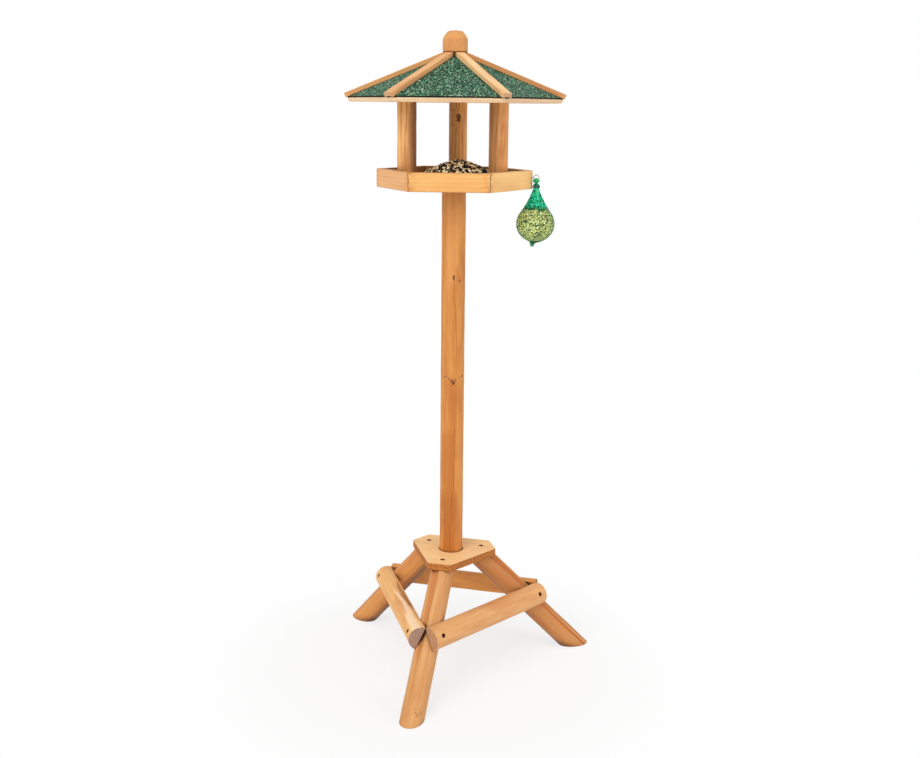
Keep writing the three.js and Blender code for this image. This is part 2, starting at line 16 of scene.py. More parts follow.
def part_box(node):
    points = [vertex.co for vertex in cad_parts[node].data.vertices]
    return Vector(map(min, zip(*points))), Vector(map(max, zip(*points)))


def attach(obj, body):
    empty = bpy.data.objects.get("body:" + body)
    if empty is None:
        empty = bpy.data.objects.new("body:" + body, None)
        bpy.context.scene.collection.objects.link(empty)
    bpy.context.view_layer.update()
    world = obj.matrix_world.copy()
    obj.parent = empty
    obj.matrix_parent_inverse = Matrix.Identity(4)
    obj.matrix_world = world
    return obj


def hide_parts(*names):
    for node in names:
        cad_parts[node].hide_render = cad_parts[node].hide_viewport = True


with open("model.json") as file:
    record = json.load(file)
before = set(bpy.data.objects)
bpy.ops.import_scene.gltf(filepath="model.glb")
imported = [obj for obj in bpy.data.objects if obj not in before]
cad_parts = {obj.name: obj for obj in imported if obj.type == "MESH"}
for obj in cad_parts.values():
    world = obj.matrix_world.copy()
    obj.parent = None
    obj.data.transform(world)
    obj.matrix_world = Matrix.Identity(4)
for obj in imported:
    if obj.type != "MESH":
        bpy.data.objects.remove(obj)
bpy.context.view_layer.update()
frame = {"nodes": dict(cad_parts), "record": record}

MM = 0.001
nodes = frame["nodes"]
print("pieces in the frame:", len(nodes))

# %% [markdown]
# ## Where things are
# The pole's axis is the middle of nearly everything on this table, so it is read from the pole's box.
# The house is turned a little on the pole. The corner with the fat ball gives that turn.

# %% Measure the frame
def middle_of(node):
    low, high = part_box(node)
    return (low + high) / 2


def from_azimuth(degrees, distance=1.0, height=0.0):
    """A point at an azimuth and distance from the vertical axis."""
    angle = math.radians(degrees)
    return Vector((distance * math.cos(angle), distance * math.sin(angle), height))


pole_middle = middle_of("pole")
pole_axis = Vector((pole_middle.x, pole_middle.y, 0))
ball_middle = middle_of("fat_ball")
house_turn = math.degrees(math.atan2(ball_middle.y - pole_axis.y, ball_middle.x - pole_axis.x))
print("pole axis", tuple(round(v, 4) for v in pole_axis), "house turned", round(house_turn, 1), "degrees")

# %% [markdown]
# ## The camera
# The table was photographed from a little above its tray, with the front leg turned to the left. The
# camera is placed round the pole's axis, tilted down, and rolled by half a degree.

# %% Place the camera
VIEW_TURN = 14.6
VIEW_ASIDE = 12.98 * MM
VIEW_BACK = 1949.8 * MM
VIEW_HEIGHT = 971 * MM
VIEW_DOWN = 13.13
VIEW_ROLL = 0.58
SENSOR = 36
LENS = 45.74

camera = bpy.data.objects.new("camera", bpy.data.cameras.new("camera"))
bpy.context.scene.collection.objects.link(camera)
camera.data.sensor_width = SENSOR
camera.data.lens = LENS
stand = Matrix.Translation(pole_axis) @ Matrix.Rotation(math.radians(VIEW_TURN), 4, "Z")
aim = Matrix.Rotation(math.radians(90 - VIEW_DOWN), 4, "X") @ Matrix.Rotation(math.radians(VIEW_ROLL), 4, "Z")
camera.matrix_world = stand @ Matrix.Translation((VIEW_ASIDE, -VIEW_BACK, VIEW_HEIGHT)) @ aim
bpy.context.scene.camera = camera
print("camera at", tuple(round(v, 3) for v in camera.matrix_world.translation))

# %% [markdown]
# ## A short way to write shader nodes
# Each finish below is a chain of nodes, joined by wires. Here a wire can be added and multiplied like a
# number, and each sum adds the node that works it out. So a finish reads from top to bottom like a
# recipe. Lengths are in millimetres, because grain and granules are easier to judge in them.

# %% Wires between nodes
class Wire:
    """What a shader node gives out."""

    def __init__(self, socket):
        self.socket = socket
        self.tree = socket.id_data

    def math(self, operation, other=0):
        return step(self.tree, "Math", {0: self, 1: other}, operation=operation)

    def __add__(self, other):
        return self.math("ADD", other)

    def __sub__(self, other):
        return self.math("SUBTRACT", other)

    def __mul__(self, other):
        return self.math("MULTIPLY", other)

    def __truediv__(self, other):
        return self.math("DIVIDE", other)

    def __abs__(self):
        return self.math("ABSOLUTE")

    def beside(self, out):
        """Another output of the same node."""
        return Wire(self.socket.node.outputs[out])


def feed(socket, value):
    """Gives an input a wire or a fixed value."""
    if isinstance(value, Wire):
        value.tree.links.new(value.socket, socket)
    else:
        socket.default_value = value


def step(tree, kind, inputs=None, out=0, **settings):
    """Adds one shader node, feeds its inputs and returns one of its outputs."""
    made = tree.nodes.new("ShaderNode" + kind)
    for name, value in settings.items():
        setattr(made, name, value)
    for name, value in (inputs or {}).items():
        feed(made.inputs[name], value)
    return Wire(made.outputs[out])


print("wires ready")

# %% [markdown]
# ## Light and background
# The table stands on a white sweep in soft light from the front left. The world gives an even fill.
# The camera sees it as white, and so do reflections. Three soft lamps give the table its shape.

# %% Light the scene
SKY_FILL = 0.5
LAMP_SOFTNESS = 40
LAMPS = {"front_left_lamp": (-34, 27, 1.5), "right_lamp": (62, 18, 0.75), "top_lamp": (5, 68, 0.55)}
WHITE = (1, 1, 1, 1)

scene = bpy.context.scene
scene.view_settings.view_transform = "Standard"


def larger(tree, a, b):
    return step(tree, "Math", {0: a, 1: b}, operation="MAXIMUM")


def seen_by(tree, *rays):
    """1 for these kinds of rays, which see plain white, and 0 for the light on the table."""
    path = step(tree, "LightPath")
    shown = path.beside(f"Is {rays[0]} Ray")
    for ray in rays[1:]:
        shown = larger(tree, shown, path.beside(f"Is {ray} Ray"))
    return shown


scene.world = bpy.data.worlds.new("white_room")
scene.world.use_nodes = True
tree = scene.world.node_tree
sky = tree.nodes["Background"].inputs
shown = seen_by(tree, "Camera", "Glossy", "Transmission")
feed(sky["Color"], WHITE)
feed(sky["Strength"], step(tree, "MapRange", {"Value": shown, "To Min": SKY_FILL, "To Max": 1.0}))

for name, (turn, height, strength) in LAMPS.items():
    lamp = bpy.data.lights.new(name, "SUN")
    lamp.energy = strength
    lamp.angle = math.radians(LAMP_SOFTNESS)
    holder = bpy.data.objects.new(name, lamp)
    scene.collection.objects.link(holder)
    holder.rotation_euler = (math.radians(90 - height), 0, math.radians(VIEW_TURN + turn))
print("lamps", len(LAMPS))

# %% [markdown]
# ## The floor
# A wide flat sheet lies just under the feet. Near them it is mostly matt, so a faint shadow shows, and
# a glow takes over outwards. That keeps the background white with no extra light on the table.

# %% Lay the floor
FLOOR_SIZE = 14.0
FLOOR_DEPTH = 0.3 * MM
FLOOR_NEAR = 0.2
FLOOR_FAR = 0.55
FLOOR_GLOW = 0.7


def length_of(vector):
    return step(vector.tree, "VectorMath", {0: vector}, out="Value", operation="LENGTH")


def ramp(value, low, high, to_low=0.0, to_high=1.0):
    """A smooth rise from one value to another."""
    inputs = {"Value": value, "From Min": low, "From Max": high, "To Min": to_low, "To Max": to_high}
    return step(value.tree, "MapRange", inputs, interpolation_type="SMOOTHSTEP")


def new_finish(name, fixed):
    """A material, its node tree and its main shader, with the shader's fixed values."""
    material = bpy.data.materials.new(name)
    material.use_nodes = True
    shader = material.node_tree.nodes["Principled BSDF"]
    for socket, value in fixed.items():
        shader.inputs[socket].default_value = value
    return material, material.node_tree, shader


floor_mesh = bpy.data.meshes.new("floor")
half = FLOOR_SIZE / 2
corners = [(-half, -half, 0), (half, -half, 0), (half, half, 0), (-half, half, 0)]
floor_mesh.from_pydata(corners, [], [(0, 1, 2, 3)])
floor = bpy.data.objects.new("floor", floor_mesh)
scene.collection.objects.link(floor)
floor.location.z = -FLOOR_DEPTH
white, tree, shader = new_finish("white_sweep", {"Base Color": (0.93, 0.93, 0.93, 1), "Roughness": 0.9})
away = length_of(step(tree, "NewGeometry", out="Position"))
fade = ramp(away, FLOOR_NEAR, FLOOR_FAR, FLOOR_GLOW, 1.0)
glow = step(tree, "Emission", {"Color": WHITE, "Strength": 1.0})
inputs = {0: fade * seen_by(tree, "Camera", "Glossy"), 1: Wire(shader.outputs[0]), 2: glow}
feed(tree.nodes["Material Output"].inputs["Surface"], step(tree, "MixShader", inputs))
floor_mesh.materials.append(white)
print("floor", FLOOR_SIZE, "m wide")

# %% [markdown]
# ## Knots and streaks
# A knot is a branch that leaves the pith. Near it the rings swell and turn aside, and in its middle the
# wood is dark. A streak is a stripe of another tone on one side of a log. Both are placed by height and
# by azimuth round the pith, as the photograph shows them, and noise bends their edges.

# %% Mark knots and streaks
def scaled(vector, scale):
    return step(vector.tree, "VectorMath", {0: vector, 1: scale}, operation="MULTIPLY")


def parts_of(vector, kind="SeparateXYZ"):
    """The three parts of a vector or a colour."""
    first = step(vector.tree, kind, {0: vector})
    return first, first.beside(1), first.beside(2)


def noise_at(vector, waves, detail=2.0, roughness=0.5, out=0):
    """Smooth noise with so many waves to a millimetre."""
    inputs = {"Vector": vector, "Scale": waves, "Detail": detail, "Roughness": roughness}
    return step(vector.tree, "TexNoise", inputs, out)


def knot_marks(grain, height, azimuth, radius):
    """The dark middle of one knot, the ring at its edge and the swelling of the rings round it."""
    turn = math.radians(azimuth)
    x, y, z = parts_of(grain)
    across = y * math.cos(turn) - x * math.sin(turn)
    out = x * math.cos(turn) + y * math.sin(turn)
    away = length_of(step(grain.tree, "CombineXYZ", {0: across, 1: (z - height) * 0.8, 2: 0.0}))
    away += noise_at(grain, 0.35, 3) * (radius * 0.7)
    this_side = ramp(out, 0, 2)
    core = ramp(away, radius * 0.7, radius * 1.35, 1, 0) * this_side
    edge = ramp(abs(away - radius * 1.25), 0, radius * 0.35, 1, 0) * this_side
    swell = ramp(away, radius * 0.8, radius * 4.5, radius * 1.6, 0) * this_side
    return core, edge, swell


def streak_mark(grain, azimuth, low, high, half_width):
    """A streak on one side of a log, from one height to another. It widens towards its upper end."""
    turn = math.radians(azimuth)
    x, y, z = parts_of(grain)
    across = y * math.cos(turn) - x * math.sin(turn)
    across += noise_at(scaled(grain, (0.6, 0.6, 0.12)), 0.12, 3) * (half_width * 2)
    inputs = {"Value": z, "From Min": low, "From Max": high, "To Min": 0.5, "To Max": half_width}
    reach = step(grain.tree, "MapRange", inputs)
    inside = ramp(abs(across - half_width) / reach, 0.5, 1.3, 1, 0)
    return inside * (ramp(z, low, low + 25) * ramp(z, high - 20, high + 10, 1, 0))


print("knots and streaks ready")

# %% [markdown]
# ## Mixing and coating
# A finish is built up in coats: a base colour, and over it stripes, stains, dirt and painted shade,
# each laid on by a share that noise or the mesh gives. A mesh can tell what it knows about its faces and
# points, and corners for painted shade are found by how little open air they see. The last coat feeds the shader.

# %% Mix colours and coat the shader
def opaque(colour):
    return colour if isinstance(colour, Wire) else (*colour, 1)


def blend_of(share, first, second):
    """Mixes two colours. A share of 0 gives the first one."""
    inputs = {0: share, 6: opaque(first), 7: opaque(second)}
    return step(share.tree, "Mix", inputs, out=2, data_type="RGBA")


def dimmed(colour, share):
    return tuple(v * share for v in colour)


def told(tree, name, out="Fac"):
    """What the mesh was told about its faces or points."""
    return step(tree, "Attribute", out=out, attribute_name=name)


def open_air(tree, reach):
    """Low in corners, where other surfaces lie within the reach."""
    return step(tree, "AmbientOcclusion", {"Distance": reach * MM}, out="AO", samples=6)


def coat(shader, colour, height, depth):
    """Feeds the shader a colour, and a height as a bump so deep in millimetres."""
    feed(shader.inputs["Base Color"], colour)
    bump = step(colour.tree, "Bump", {"Height": height, "Distance": depth * MM, "Strength": 1.0})
    feed(shader.inputs["Normal"], bump)


print("mixing ready")

# %% [markdown]
# ## Softwood that runs through the piece
# Wood isn't a picture on a surface. Growth rings are tubes round the pith, and a cut shows wherever it
# meets them, as stripes along a pole and as arcs on its end. So the finish works in each piece's own
# grain space, in millimetres: Z runs along the grain and the pith is at X = Y = 0. Rings come from the
# distance to the pith, bent by slow noise. Fine fibres, drawn out along Z, lie over them. Cut ends and
# arrises get their own tones, as oil and dirt do on the real wood. One side of a piece can get painted
# shade, and milled hollows and corners get painted shade last.

# %% The wood finish
STAIN = (0.2, 0.065, 0.018)
SPECK_TONE = (0.12, 0.05, 0.02)
KNOT_TONE = (0.2, 0.07, 0.025)
# Painted shade in a milled hollow.
HOLLOW_SHADE_TONE = (0.5, 0.13, 0.012)
# Painted shade in corners and at contacts: its tone, and its share where a corner sees the least open air.
CORNER_SHADE_TONE = (0.08, 0.025, 0.008)
CORNER_SHADE_SHARE = 0.92
GLOSS = 0.45


def moved(vector, by, operation="ADD"):
    return step(vector.tree, "VectorMath", {0: vector, 1: by}, operation=operation)


def growth(tree, grain, ring, knots):
    """Latewood lines and fine fibres, and the middles and edges of the knots."""
    drift = moved(noise_at(scaled(grain, (1, 1, 0.14)), 0.03, 2, out="Color"), (0.5, 0.5, 0.5), "SUBTRACT")
    from_pith = length_of(scaled(moved(grain, scaled(drift, (9, 9, 0))), (1, 1, 0)))
    cores = edges = 0.0
    for height, azimuth, radius in knots:
        core, edge, swell = knot_marks(grain, height, azimuth, radius)
        cores = larger(tree, cores, core)
        edges = larger(tree, edges, edge)
        from_pith -= swell
    fine = noise_at(scaled(grain, (1, 1, 0.018)), 0.9, 5, 0.65)
    year = (from_pith / ring + fine * 0.5).math("FRACT")
    return ramp(year, 0.3, 0.85) * ramp(year, 0.9, 1.0, 1, 0), fine, cores, edges


def wood(name, pale, late, red, ring=2.6, rings=0.5, fibres=0.5, knots=(), patchy=0.5, end=(0.36, 0.22, 0.13),
         speckle=0.0, stains=(), arris_tone=0.3, streaks=(), shade_side=None, shade_drop=0.0, corner_reach=8.0,
         knot_tone=KNOT_TONE, hollow_shade_share=0.55, grit_share=0.6):
    """Oiled softwood. Colours are linear. ring is the width of a year's growth in millimetres."""
    finish, tree, shader = new_finish(name, {"Specular IOR Level": 0.3})
    grain = told(tree, "grain", "Vector")
    lines, fine, cores, edges = growth(tree, grain, ring, knots)
    latewood = lines * ramp(noise_at(grain, 0.04, 2), 0.3, 0.7, rings * 0.5, rings)
    colour = blend_of(latewood, pale, late)
    colour = blend_of(ramp(fine, 0.42, 0.78, 0, fibres), colour, late)
    hair = noise_at(scaled(grain, (1, 1, 0.03)), 3.2, 3, 0.6)
    colour = blend_of(ramp(hair, 0.5, 0.8, 0, fibres * 0.6), colour, red)
    patches = noise_at(scaled(grain, (1, 1, 0.25)), 0.045, 3)
    colour = blend_of(ramp(patches, 0.38, 0.72, 0, patchy), colour, red)
    if speckle:
        specks = noise_at(scaled(grain, (1, 1, 0.5)), 0.75, 4, 0.7)
        colour = blend_of(ramp(specks, 0.55, 0.68, 0, speckle), colour, SPECK_TONE)
    for azimuth, low, high, half_width, tone, share in streaks:
        colour = blend_of(streak_mark(grain, azimuth, low, high, half_width) * share, colour, tone)
    if knots:
        colour = blend_of(edges * 0.75, colour, dimmed(knot_tone, 0.45))
        colour = blend_of(cores * 0.93, colour, knot_tone)
    # Painted shade on one side of the piece, darkest on faces turned that way and, with a drop, downwards.
    if shade_side:
        turn, share = shade_side
        inputs = {0: step(tree, "NewGeometry", out="Normal"), 1: from_azimuth(turn, 1, -shade_drop)}
        facing = step(tree, "VectorMath", inputs, out="Value", operation="DOT_PRODUCT")
        colour = blend_of(ramp(facing, -0.2, 0.95, 0, share), colour, dimmed(late, 0.3))
    for place, reach in stains:
        near = ramp(abs(parts_of(grain)[2] - place), 0, reach, 0.8, 0)
        blotch = ramp(noise_at(grain, 0.16, 4, 0.6), 0.42, 0.62)
        colour = blend_of(near * blotch, colour, late)
    cut = told(tree, "cut_end")
    ends = blend_of(lines * 0.6, end, dimmed(end, 0.55))
    ends = blend_of(ramp(noise_at(grain, 0.6, 4, 0.75), 0.45, 0.6, 0, grit_share), ends, dimmed(end, 0.25))
    colour = blend_of(cut, colour, ends)
    colour = blend_of(told(tree, "arris") * arris_tone, colour, STAIN)
    # Painted shade deep in the milled hollow, by the depth that the mesh tells.
    colour = blend_of(told(tree, "hollow") * hollow_shade_share, colour, HOLLOW_SHADE_TONE)
    # Painted shade: a corner darkens as other surfaces close in round it within the reach.
    colour = blend_of(ramp(open_air(tree, corner_reach), 0.2, 0.86, CORNER_SHADE_SHARE, 0), colour, CORNER_SHADE_TONE)
    feed(shader.inputs["Roughness"], ramp(fine, 0.3, 0.8, GLOSS, GLOSS + 0.2) + cut * 0.2)
    coat(shader, colour, fine * 0.6 + latewood * 0.35, 0.22)
    return finish


print("wood finish ready")

# %% [markdown]
# ## Working a timber piece
# A planed or turned piece has no knife-sharp edge: its arrises are eased, and its faces aren't perfectly
# true. Each timber starts from its frame solid. Shared corners are welded, flat facets are joined,
# arrises are rounded with a small bevel, and a log gets rings along its length so that slow noise can
# make it a little uneven. The noise gets a fixed seed, because without one each run would shape the
# timber anew.

# %% Ease the arrises
UP = Vector((0, 0, 1))
WELD = 0.002 * MM
FLAT_ANGLE = math.radians(0.4)
ARRIS_ANGLE = math.radians(30)
UPRIGHT = 0.99
RING_STEP = 18 * MM
WAVE_LENGTH = 26 * MM
NOISE_SEED = 3
noise.seed_set(NOISE_SEED)


def sharp_edges(work):
    """Edges where two faces meet at a clear angle."""
    return [e for e in work.edges if len(e.link_faces) == 2 and e.calc_face_angle(0) > ARRIS_ANGLE]


def eased_solid(mesh, arris, corner):
    """A frame solid with rounded arrises, which are marked, and larger rounds on its upright corners."""
    work = bmesh.new()
    work.from_mesh(mesh)
    bmesh.ops.remove_doubles(work, verts=work.verts, dist=WELD)
    bmesh.ops.dissolve_limit(work, verts=work.verts, edges=work.edges, angle_limit=FLAT_ANGLE)
    on_arris = work.faces.layers.float.new("arris")
    if corner:
        upright = [e for e in sharp_edges(work) if abs((e.verts[0].co - e.verts[1].co).normalized().z) > UPRIGHT]
        bmesh.ops.bevel(work, geom=upright, offset=corner * MM, segments=4, profile=0.5, affect="EDGES")
    eased = bmesh.ops.bevel(work, geom=sharp_edges(work), offset=arris * MM, segments=2, profile=0.5,
                            affect="EDGES", clamp_overlap=True)
    for f in eased["faces"]:
        f[on_arris] = 1.0
    return work


def make_uneven(work, along, place, uneven):
    """Cuts rings along a log and moves its points by slow noise."""
    reach = [v.co.dot(along) for v in work.verts]
    cut = min(reach) + RING_STEP
    while cut < max(reach) - RING_STEP / 2:
        geometry = work.verts[:] + work.edges[:] + work.faces[:]
        bmesh.ops.bisect_plane(work, geom=geometry, plane_co=along * cut, plane_no=along)
        cut += RING_STEP
    for v in work.verts:
        v.co += noise.noise_vector(v.co / WAVE_LENGTH + place) * uneven * MM


print("arrises and unevenness ready")

# %% [markdown]
# ## Telling the wood where it lies
# The wood finish needs three things from the mesh: where each corner lies in the log that the piece was
# cut from, which faces cut across the grain, and how deep a corner lies in a milled hollow. They are
# written on the mesh as attributes, so the grain stays in the wood at any pose.

# %% Make one timber
HOLLOW_START = 0.5
HOLLOW_FADE = 1.5
CUT_START = 0.5
CUT_FADE = 0.3
SMOOTH_ANGLE = math.radians(40)


def add_piece(name, mesh, body, replaced=()):
    """Links a mesh as a piece that rides on a body and stands for its frame nodes."""
    made = bpy.data.objects.new(name, mesh)
    scene.collection.objects.link(made)
    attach(made, body)
    if replaced:
        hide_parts(*replaced)
    return made


def grain_frame(along, origin, outward):
    """A matrix from the scene to grain space, in millimetres: Z along the grain and X outward."""
    side = along.cross(outward).normalized()
    turn = Matrix((side.cross(along), side, along)).to_4x4()
    return Matrix.Scale(1 / MM, 4) @ turn @ Matrix.Translation(-origin)


def share_of(value):
    return min(max(value, 0), 1)


def timber(node, along, origin, finish, pith=(0.0, 0.0), shift=0.0, arris=0.7, uneven=0.0,
           outward=None, sheet=False, corner=0.0, round_radius=None):
    """A wooden piece made from a frame solid. A sheet shows its cut on all its sides."""
    mesh = nodes[node].data.copy()
    mesh.materials.clear()
    work = eased_solid(mesh, arris, corner)
    along = along.normalized()
    if uneven:
        make_uneven(work, along, Vector((shift, *pith)), uneven)
    to_grain = grain_frame(along, origin, outward or (UP if abs(along.z) < 0.9 else Vector((1, 0, 0))))
    in_hollow = work.verts.layers.float.new("hollow")
    if round_radius:
        for v in work.verts:
            depth = round_radius - (to_grain @ v.co).xy.length
            v[in_hollow] = share_of((depth - HOLLOW_START) / HOLLOW_FADE)
    work.normal_update()
    work.to_mesh(mesh)
    work.free()
    grain = mesh.attributes.new("grain", "FLOAT_VECTOR", "POINT")
    cut = mesh.attributes.new("cut_end", "FLOAT", "FACE")
    offset = Vector((*pith, shift))
    for v in mesh.vertices:
        grain.data[v.index].vector = to_grain @ v.co + offset
    for f in mesh.polygons:
        turned_to = math.sqrt(max(1 - f.normal.z ** 2, 0)) if sheet else abs(f.normal.dot(along))
        cut.data[f.index].value = share_of((turned_to - CUT_START) / CUT_FADE)
        f.use_smooth = True
    mesh.set_sharp_from_angle(angle=SMOOTH_ANGLE)
    mesh.materials.append(finish)
    made = add_piece(node + "_timber", mesh, "table", (node,))
    made.modifiers.new("even_shading", "WEIGHTED_NORMAL").keep_sharp = True
    return made


print("timber maker ready")

# %% [markdown]
# ## The pole
# One round pole carries the house. The photograph shows a honey-orange oil over pine. The pole is the
# plainest piece, so it shows the grain best: long stripes, a broken run of resin and a few small knots.
# A streak has its azimuth, lower and upper height, half width, tone and share.

# %% Turn the pole
AMBER = (0.5, 0.165, 0.033)
RUST = (0.47, 0.14, 0.03)
BELOW = -2000
RESIN_TONE = (0.22, 0.055, 0.009)
RESIN_RUN = ((-66, 440, 497), (-61, 400, 458), (-55, 350, 418), (-60, 165, 240), (-62, 112, 182), (-68, 58, 128),
             (-73, BELOW, 74))
# Among the streaks, the wide pale one high on the pole is painted light where the tray shades it, and the first
# two make the pole darker towards its foot.
POLE_STREAKS = ((-84, BELOW, 235, 12, (0.5, 0.165, 0.024), 0.75), (-78, BELOW, 120, 15, (0.42, 0.125, 0.016), 0.7),
                (-72, 450, 700, 34, (1.0, 0.5, 0.19), 0.2), (-69, BELOW, 330, 7, (0.47, 0.14, 0.022), 0.55),
                (-38, 505, 540, 4, (0.5, 0.15, 0.05), 0.5),
                *((azimuth, low, high, 0.9, RESIN_TONE, 0.45) for azimuth, low, high in RESIN_RUN))
POLE_KNOTS = ((500, -67, 1.5), (497.5, -67.5, 1.9), (495, -67, 1.5), (492, -47, 1.5), (318, -66, 2.9),
              (321.5, -73, 1.7), (323, -58, 1.3), (327, -99, 1.3), (328, -90, 0.9), (324, -83, 1.2),
              (326, -45, 1.1), (328, -31, 1.4))
pole_wood = wood("pole_wood", (0.7, 0.295, 0.066), AMBER, RUST, knots=POLE_KNOTS, knot_tone=(0.11, 0.03, 0.008),
                 fibres=0.7, streaks=POLE_STREAKS)
pole_low, pole_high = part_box("pole")
pole_foot = Vector((pole_axis.x, pole_axis.y, pole_low.z))
timber("pole", UP, pole_foot, pole_wood, pith=(5, -7), uneven=0.35)
print("pole length", round((pole_high.z - pole_low.z) / MM), "mm")

# %% [markdown]
# ## The legs
# Three raked legs stand outwards, with a shallow hollow milled along each. Each leg's grain follows its
# rake. The logs differ a little from each other in tone, as they do in the photograph. Painted shade lies
# on one side of the left and right legs and under the plate, and the right leg's hollow has painted shade
# in it and a painted highlight along its ridge.

# %% Shape the legs
FOOT_MARKS = ((257, 0, 0.9), (255, -18, 0.9), (263, -6, 1.3), (265, -17, 1.5), (260, -28, 1.3), (263, -36, 1.3),
              (268, -15, 1.2))
# Along the right leg's hollow: a band and a deep line of painted shade, and a painted highlight on its ridge.
HOLLOW_SHADE_AND_HIGHLIGHT = ((55, -200, 420, 7, (0.64, 0.2, 0.03), 0.75), (43, 60, 420, 1.6, (0.9, 0.55, 0.25), 0.6),
                  (57, 60, 420, 2.2, (0.26, 0.05, 0.006), 0.75))
# Each leg's finish has painted shade under the plate, and the left and right legs have it on one side too.
leg_wood = {
    "leg_front": wood("front_leg_wood", (0.65, 0.345, 0.13), (0.54, 0.225, 0.07), (0.53, 0.19, 0.056),
                      corner_reach=28, knots=FOOT_MARKS, knot_tone=(0.48, 0.155, 0.055), arris_tone=0.6),
    "leg_right": wood("right_leg_wood", (0.56, 0.255, 0.084), AMBER, RUST, corner_reach=24, hollow_shade_share=0.8,
                      streaks=HOLLOW_SHADE_AND_HIGHLIGHT, shade_side=(VIEW_TURN + 180, 0.35), arris_tone=0.6),
    "leg_left": wood("left_leg_wood", (0.68, 0.3, 0.08), AMBER, RUST, corner_reach=24, knots=((120, 150, 2.2),),
                     shade_side=(VIEW_TURN, 0.82), shade_drop=0.7, arris_tone=0.6),
}
LEG_AZIMUTHS = {"leg_front": -90, "leg_right": 30, "leg_left": 150}
LOG_RADIUS = 20
LEG_TOP = 48.5 * MM
LEG_FOOT = 236 * MM
plate_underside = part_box("base_plate")[0].z
for index, (name, azimuth) in enumerate(LEG_AZIMUTHS.items()):
    top = pole_axis + from_azimuth(azimuth, LEG_TOP, plate_underside)
    foot = pole_axis + from_azimuth(azimuth, LEG_FOOT)
    timber(name, foot - top, top, leg_wood[name], pith=(4 - 3 * index, 6), uneven=0.5,
           outward=from_azimuth(azimuth), round_radius=LOG_RADIUS)
print("legs", len(LEG_AZIMUTHS))

# %% [markdown]
# ## The rails
# Half-round rails tie the legs. Their grain runs level, and each one has its own tone and its own end
# grain. The one at the left is streaked dark below and pale above.

# %% Shape the rails
LEFT_RAIL_STREAKS = ((-88, -75, 60, 8, (0.4, 0.15, 0.055), 0.85), (-58, -35, 150, 9, (0.97, 0.7, 0.45), 0.85))
RAILS = {"rail_front_right": (-30, (0.77, 0.41, 0.165), (0.6, 0.3, 0.15), ()),
         "rail_rear": (90, (0.75, 0.325, 0.073), (0.5, 0.21, 0.06), ()),
         "rail_front_left": (210, (0.88, 0.5, 0.18), (0.45, 0.27, 0.19), LEFT_RAIL_STREAKS)}
for index, (name, (azimuth, tone, end_tone, streaks)) in enumerate(RAILS.items()):
    finish = wood(name + "_wood", tone, (0.58, 0.22, 0.06), (0.54, 0.18, 0.05), rings=0.25, fibres=0.4,
                  end=end_tone, knots=((60 - 50 * index, 130, 2.4),), streaks=streaks, arris_tone=0.7)
    timber(name, from_azimuth(azimuth + 90), middle_of(name), finish, pith=(9, 4), uneven=0.45,
           outward=from_azimuth(azimuth))
print("rails", len(RAILS))

# %% [markdown]
# ## Plate, seat and tray floor
# The base plate and the tray's floor are sheet material. The plate's top is pale and worn, and its sawn
# edge is rough, brown and speckled, so it gets a finish with strong specks that only its sides show.

# %% Cut the sheet pieces
TAN = (0.76, 0.38, 0.11)
EDGE_TONE = (0.61, 0.205, 0.038)
plate_wood = wood("plate_wood", (1.0, 0.64, 0.295), (0.8, 0.405, 0.15), (0.82, 0.425, 0.162), ring=4.5, rings=0.3,
                  end=EDGE_TONE, speckle=0.25, arris_tone=0.75, grit_share=0.9)
seat_wood = wood("seat_wood", TAN, AMBER, RUST, ring=4, end=EDGE_TONE)
floor_wood = wood("tray_floor_wood", (0.5, 0.26, 0.1), (0.34, 0.15, 0.055), (0.36, 0.15, 0.05), ring=5)
SHEETS = (("base_plate", plate_wood, 55, 0.9, 2.5), ("pole_seat", seat_wood, 40, 0.4, 0),
          ("tray_floor", floor_wood, 70, 0.4, 0))
for name, finish, pith_depth, arris, corner in SHEETS:
    timber(name, Vector((1, 0, 0)), middle_of(name), finish, pith=(pith_depth, 0), arris=arris, sheet=True,
           corner=corner)

# %% [markdown]
# ## The tray's rim
# Six mitred boards make the tray's rim. Boards are sawn from wider timber, so their pith lies far
# outside and the rings show as long, wide stripes. Each board's tone is its own, and stains darken its
# mitred ends. Painted shade darkens the side of each board that faces into the tray.

# %% Build the tray's rim
SIDES = 6
RIM_HALF = 64
RIM_TONES = ((0.93, 0.56, 0.22), (0.74, 0.38, 0.13), (0.8, 0.44, 0.16), (0.82, 0.45, 0.19), (0.87, 0.48, 0.155),
             (1.0, 0.63, 0.25))
RIM_GRAIN = [(0.3, 0.45)] * 5 + [(0.12, 0.25)]


def side_azimuth(index):
    """The way a side of the house faces."""
    return house_turn + (index + 0.5) * 360 / SIDES


for index, (rings, fibres) in enumerate(RIM_GRAIN):
    side = side_azimuth(index)
    name = f"rim_board_{index + 1}"
    shift = 60 * index
    # The inner side of each board gets painted shade.
    finish = wood(name + "_wood", RIM_TONES[index], (0.56, 0.2, 0.05), (0.72, 0.3, 0.09), ring=5, rings=rings,
                  fibres=fibres, patchy=0.4, stains=((RIM_HALF + shift, 15), (shift - RIM_HALF, 15)),
                  shade_side=(side + 180, 0.8), arris_tone=0.45)
    timber(name, from_azimuth(side + 90), middle_of(name), finish, pith=(30, 45), shift=shift,
           arris=0.8, outward=from_azimuth(side))
print("rim boards", SIDES)

# %% [markdown]
# ## The posts
# Three round posts stand in the tray and carry the roof. Each gets painted shade on one side, given by
# the way that side faces and how dark it is, and painted shade near the roof and the tray. The rear post
# has one large dark knot, made of two that overlap.

